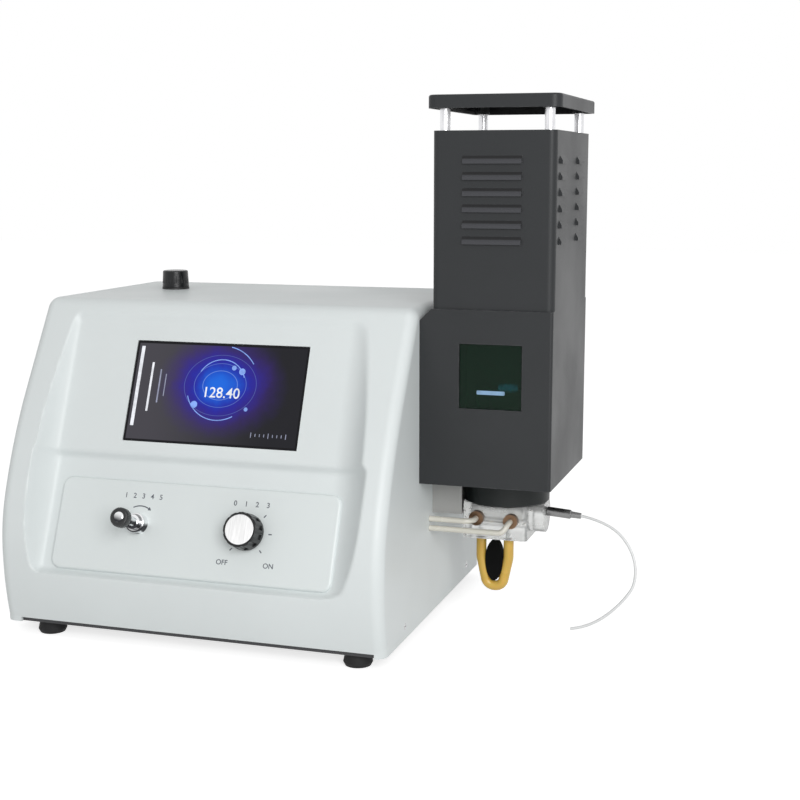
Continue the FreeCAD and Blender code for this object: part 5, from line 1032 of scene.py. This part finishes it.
def add_control_plate(material):
    """Film-covered plate with a soft edge, and its two holes."""
    work = bmesh.new()
    rings = []
    low = -FLOOR_DEPTH - 0.2
    turns = [math.radians(angle) for angle in range(0, 91, 15)]
    edge = [(PLATE_EDGE_R * (1.0 - math.cos(turn)), PLATE_TOP - PLATE_EDGE_R * (1.0 - math.sin(turn)))
            for turn in turns]
    for inset, w in [(0.0, low)] + edge:
        outline = rounded_outline(PLATE_U0 + inset, PLATE_U1 - inset, PLATE_V0 + inset, PLATE_V1 - inset,
                                  PLATE_R - inset)
        rings.append([on_panel(u, v, w) for u, v in outline])
    skin_rings(work, rings)
    plate = add_object("plate_solid", mesh_of(work, "plate_solid"))
    work = bmesh.new()
    panel_hole_cutters(work)
    mesh = cut_away(plate, add_object("plate_holes", mesh_of(work, "plate_holes")), "control_plate_soft")
    smooth_by_angle(mesh, 50.0)
    piece = add_piece("control_plate_soft", mesh, "instrument", material)
    even_shading(piece)
    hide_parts("control_plate")


def turned_mesh(name, profile, u, v, segments=96, flutes=0, flute_depth=0.0):
    """Shape turned about the panel's outward axis from (radius, height) pairs, milled if told."""
    work = bmesh.new()
    rings = []
    for radius, w in profile:
        ring = []
        for index in range(segments):
            turn = 2.0 * math.pi * index / segments
            reach = radius
            if flutes:
                reach -= flute_depth * (0.5 - 0.5 * math.cos(flutes * turn))
            ring.append(on_panel(*round_point(reach, turn, u, v), w))
        rings.append(ring)
    skin_rings(work, rings)
    mesh = mesh_of(work, name)
    smooth_by_angle(mesh, 40.0)
    return mesh


def add_gas_knob(materials):
    """Plated neck and domed end with a dark milled rim round it, whose black also stands in for the
    plating's dark reflection.
    """
    base = PLATE_TOP + GAS_NUT_T + 0.4
    tip = PLATE_TOP + GAS_REACH
    disc = tip - GAS_DISC_T
    neck = [(GAS_NECK_R + 1.6, base), (GAS_NECK_R + 1.6, base + 3.4), (GAS_NECK_R + 1.0, base + 4.0),
            (GAS_NECK_R, base + 4.4), (GAS_NECK_R - 0.6, (base + disc) / 2.0), (GAS_NECK_R, disc - 3.0),
            (GAS_DISC_R - 1.6, disc - 0.2), (GAS_DISC_R - 1.0, disc + 0.6), (GAS_DISC_R - 2.0, tip - 1.5),
            (GAS_DOME_R, tip - 1.1), (GAS_DOME_R - 0.4, tip - 0.5), (GAS_DOME_R - 1.2, tip - 0.2),
            (0.4, tip)]
    mesh = turned_mesh("gas_knob_turned", neck, GAS_U, SPINDLE_V)
    knob = add_piece("gas_knob_turned", mesh, "gas_control", materials["chrome"])
    # black milled rim, which also stands in for the plated disc's dark reflection
    rim = [(GAS_DISC_R - 1.2, disc + 0.8), (GAS_DISC_R - 0.5, disc + 0.9), (GAS_DISC_R, disc + 1.6),
           (GAS_DISC_R, tip - 2.4), (GAS_DISC_R - 0.3, tip - 1.5), (GAS_DISC_R - 1.0, tip - 0.8),
           (GAS_DISC_R - 2.0, tip - 0.6), (GAS_DOME_R + 0.3, tip - 1.0)]
    grip = turned_mesh("gas_knob_grip", rim, GAS_U, SPINDLE_V, segments=192, flutes=32, flute_depth=0.35)
    add_piece("gas_knob_grip", grip, "gas_control", materials["grip"])
    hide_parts("gas_knob")


def add_level_line(material):
    """Pale line on the sight glass at the height the flame is set to, made to glow: a painted glow, as the
    line gives off no light.
    """
    mesh = bar_mesh(LINE_W, LINE_H, 0.05, 0.8)
    stands = Matrix.Rotation(math.pi / 2.0, 4, "X")
    mesh.transform(Matrix.Translation(place(LINE_X, GLASS_FACE_Y, LINE_Z)) @ stands)
    add_piece("flame_level_line", mesh, "instrument", material)


# ---------------------------------------------------------------- marks and readout
def text_mesh(words, size, depth):
    curve = bpy.data.curves.new("words", "FONT")
    curve.body = words
    curve.size = size / 1000.0
    curve.align_x = "CENTER"
    curve.align_y = "CENTER"
    curve.extrude = depth / 2000.0
    curve.offset = 0.00009
    piece = add_object("words", curve)
    mesh = applied(piece, "words")
    discard(piece)
    return mesh


def merge(name, meshes):
    """One mesh of several (mesh, matrix) pairs."""
    work = bmesh.new()
    for mesh, matrix in meshes:
        mesh.transform(matrix)
        work.from_mesh(mesh)
    return mesh_of(work, name)


def strip_mesh(outline, depth):
    """Flat shape with the given outline in millimetres, thickened to depth."""
    work = bmesh.new()
    low = [work.verts.new((x / 1000.0, y / 1000.0, 0.0)) for x, y in outline]
    high = [work.verts.new((x / 1000.0, y / 1000.0, depth / 1000.0)) for x, y in outline]
    count = len(outline)
    work.faces.new(high)
    work.faces.new(list(reversed(low)))
    for index in range(count):
        after = (index + 1) % count
        work.faces.new((low[index], low[after], high[after], high[index]))
    return mesh_of(work, "strip")


def bar_mesh(width, height, depth, radius=0.3):
    """Upright bar with rounded corners, drawn round its middle."""
    outline = []
    for sign_x, sign_y, start in ((1, 1, 0), (-1, 1, 90), (-1, -1, 180), (1, -1, 270)):
        for index in range(4):
            turn = math.radians(start + 30.0 * index)
            corner = (sign_x * (width / 2.0 - radius), sign_y * (height / 2.0 - radius))
            outline.append(round_point(radius, turn, *corner))
    return strip_mesh(outline, depth)


def arc_strip(radius, width, angle0, angle1, depth, count=24):
    """Flat strip bent round the middle, from one angle to the other in degrees."""
    turns = [math.radians(angle0 + (angle1 - angle0) * index / count) for index in range(count + 1)]
    outer = [round_point(radius + width / 2.0, turn) for turn in turns]
    inner = [round_point(radius - width / 2.0, turn) for turn in turns]
    return strip_mesh(outer + inner[::-1], depth)


def add_plate_print(material):
    """Plain numbers, a turning arrow and the switch's marks on the control plate."""
    pairs = []
    for words, size, u, v in (("1   2   3   4   5", NUMBER_SIZE, GAS_U + 1.0, NUMBERS_V),
                              ("0    1    2    3", NUMBER_SIZE, LPG_U, NUMBERS_V),
                              ("OFF", WORD_SIZE, LPG_U - 20.0, WORDS_V),
                              ("ON", WORD_SIZE, LPG_U + 22.0, WORDS_V)):
        pairs.append((text_mesh(words, size, PRINT_T), panel_matrix(u, v, PLATE_TOP)))
    shaft = arc_strip(ARROW_R, 1.0, ARROW_FROM, ARROW_TO, PRINT_T)
    pairs.append((shaft, panel_matrix(GAS_U, SPINDLE_V, PLATE_TOP)))
    head = strip_mesh([(0.0, -1.7), (3.0, 0.0), (0.0, 1.7)], PRINT_T)
    u, v = round_point(ARROW_R, math.radians(ARROW_FROM), GAS_U, SPINDLE_V)
    pairs.append((head, panel_matrix(u, v, PLATE_TOP, math.radians(-30.0))))
    for angle in (-48.0, 0.0, 48.0, -132.0):
        turn = math.radians(angle)
        u, v = round_point(TICK_R, turn, LPG_U, SPINDLE_V)
        pairs.append((bar_mesh(3.0, 1.0, PRINT_T), panel_matrix(u, v, PLATE_TOP, turn)))
    add_piece("plate_print", merge("plate_print", pairs), "instrument", material)


def on_glass(u, v):
    """Where a mark of the display lies, from the glass's middle."""
    return panel_matrix(GLASS_U + u, v, -GLASS_SINK)


def add_readout(materials):
    """Lit marks of the display: bars at the left, a reading in the middle and a small scale."""
    white = []
    for u, height, v, width in ((-75.5, 72.0, 4.5, 3.2), (-63.5, 44.0, 4.0, 2.0)):
        white.append((bar_mesh(width, height, LIT_T), on_glass(u, v)))
    white.append((text_mesh("128.40", 13.0, LIT_T), on_glass(5.0, 1.0)))
    pale = []
    for u, height, v, width in ((-55.0, 30.0, 5.0, 1.3), (-49.5, 20.0, 6.0, 0.9)):
        pale.append((bar_mesh(width, height, LIT_T, 0.2), on_glass(u, v)))
    for index in range(9):
        height = 2.6 if index % 4 else 4.4
        pale.append((bar_mesh(0.7, height, LIT_T, 0.2), on_glass(38.0 + 4.0 * index, -34.0)))
    blue = []
    for radius, angle0, angle1 in ((23.0, 20.0, 150.0), (31.0, 200.0, 300.0), (35.0, 35.0, 80.0)):
        blue.append((arc_strip(radius, 0.8, angle0, angle1, LIT_T), on_glass(GLOW_U, GLOW_V)))
    for u, v, size in ((22.0, 21.0, 3.0), (-19.0, -10.0, 3.2), (14.0, 24.0, 2.2), (30.0, -12.0, 1.8)):
        blue.append((arc_strip(size / 2.0, size * 0.98, 0.0, 359.0, LIT_T), on_glass(u, v)))
    for tint, pairs in (("white", white), ("pale", pale), ("blue", blue)):
        name = "readout_" + tint
        add_piece(name, merge(name, pairs), "instrument", materials["lit_" + tint])


def add_flame(material):
    """Low blue flame: a ring of small cones on the burner's head."""
    work = bmesh.new()
    for radius, count in FLAME_RINGS:
        for index in range(count):
            x, y = round_point(radius, 2.0 * math.pi * index / count, BURNER_X, BURNER_Y)
            start = place(x, y, BURNER_HEAD_TOP + 0.05)
            rod_cutter(work, start, UPRIGHT, FLAME_FOOT_R / 1000.0, FLAME_H / 1000.0, FLAME_TIP_R / 1000.0)
    mesh = mesh_of(work, "burner_flame")
    smooth_by_angle(mesh, 60.0)
    add_piece("burner_flame", mesh, "instrument", material)


# ---------------------------------------------------------------- floor, light, world
def seen_directly(tree):
    """One for what the eye sees, straight or by gloss or through glass, and nothing for soft light."""
    path = add_node(tree, "ShaderNodeLightPath")
    seen = math_node(tree, "MAXIMUM", path.outputs["Is Camera Ray"], path.outputs["Is Transmission Ray"])
    return math_node(tree, "MAXIMUM", seen, path.outputs["Is Glossy Ray"])


def add_stage():
    mesh = bpy.data.meshes.new("floor")
    half = 6.0
    mesh.from_pydata([(-half, -half, 0.0), (half, -half, 0.0), (half, half, 0.0), (-half, half, 0.0)], [],
                     [(0, 1, 2, 3)])
    floor = add_object("floor", mesh)
    floor.location.z = -0.0002
    material, tree, shader = start_material("pale_floor", 0.8, Specular_IOR_Level=0.0)
    shader.inputs["Base Color"].default_value = (FLOOR_TONE, FLOOR_TONE, FLOOR_TONE, 1.0)
    shader.inputs["Emission Color"].default_value = (1.0, 1.0, 1.0, 1.0)
    fill = math_node(tree, "MULTIPLY", seen_directly(tree), FLOOR_FILL)
    join(tree, fill, shader.inputs["Emission Strength"])
    mesh.materials.append(material)


def add_light(name, location, target, size, power):
    data = bpy.data.lights.new(name, "AREA")
    data.shape = "SQUARE"
    data.size = size
    data.energy = power
    light = add_object(name, data)
    light.location = location
    light.rotation_euler = (Vector(target) - Vector(location)).to_track_quat("-Z", "Y").to_euler()


def add_world():
    """Even pale surroundings: white where seen, softer where they light the object."""
    world = bpy.data.worlds.new("surroundings")
    bpy.context.scene.world = world
    world.use_nodes = True
    tree = world.node_tree
    background = tree.nodes["Background"]
    background.inputs["Color"].default_value = (1.0, 1.0, 1.0, 1.0)
    strength = map_range(tree, seen_directly(tree), 0.0, 1.0, WORLD_LIGHT, 1.0, smooth=False)
    join(tree, strength, background.inputs["Strength"])


def main():
    add_camera()
    capillary = add_capillary()
    materials = make_materials()
    capillary.data.materials.append(materials["capillary"])
    dress_nodes(materials)
    add_shell(materials["shell"])
    add_control_plate(materials["plate"])
    add_gas_knob(materials)
    add_level_line(materials["level_line_painted_glow"])
    add_plate_print(materials["print"])
    add_readout(materials)
    add_flame(materials["flame"])
    add_stage()
    add_world()
    add_light("front_light", LAMP_PLACE, (0.0, 0.0, 0.15), LAMP_SIZE, LAMP_POWER)
    bpy.context.scene.view_settings.view_transform = "Standard"


main()
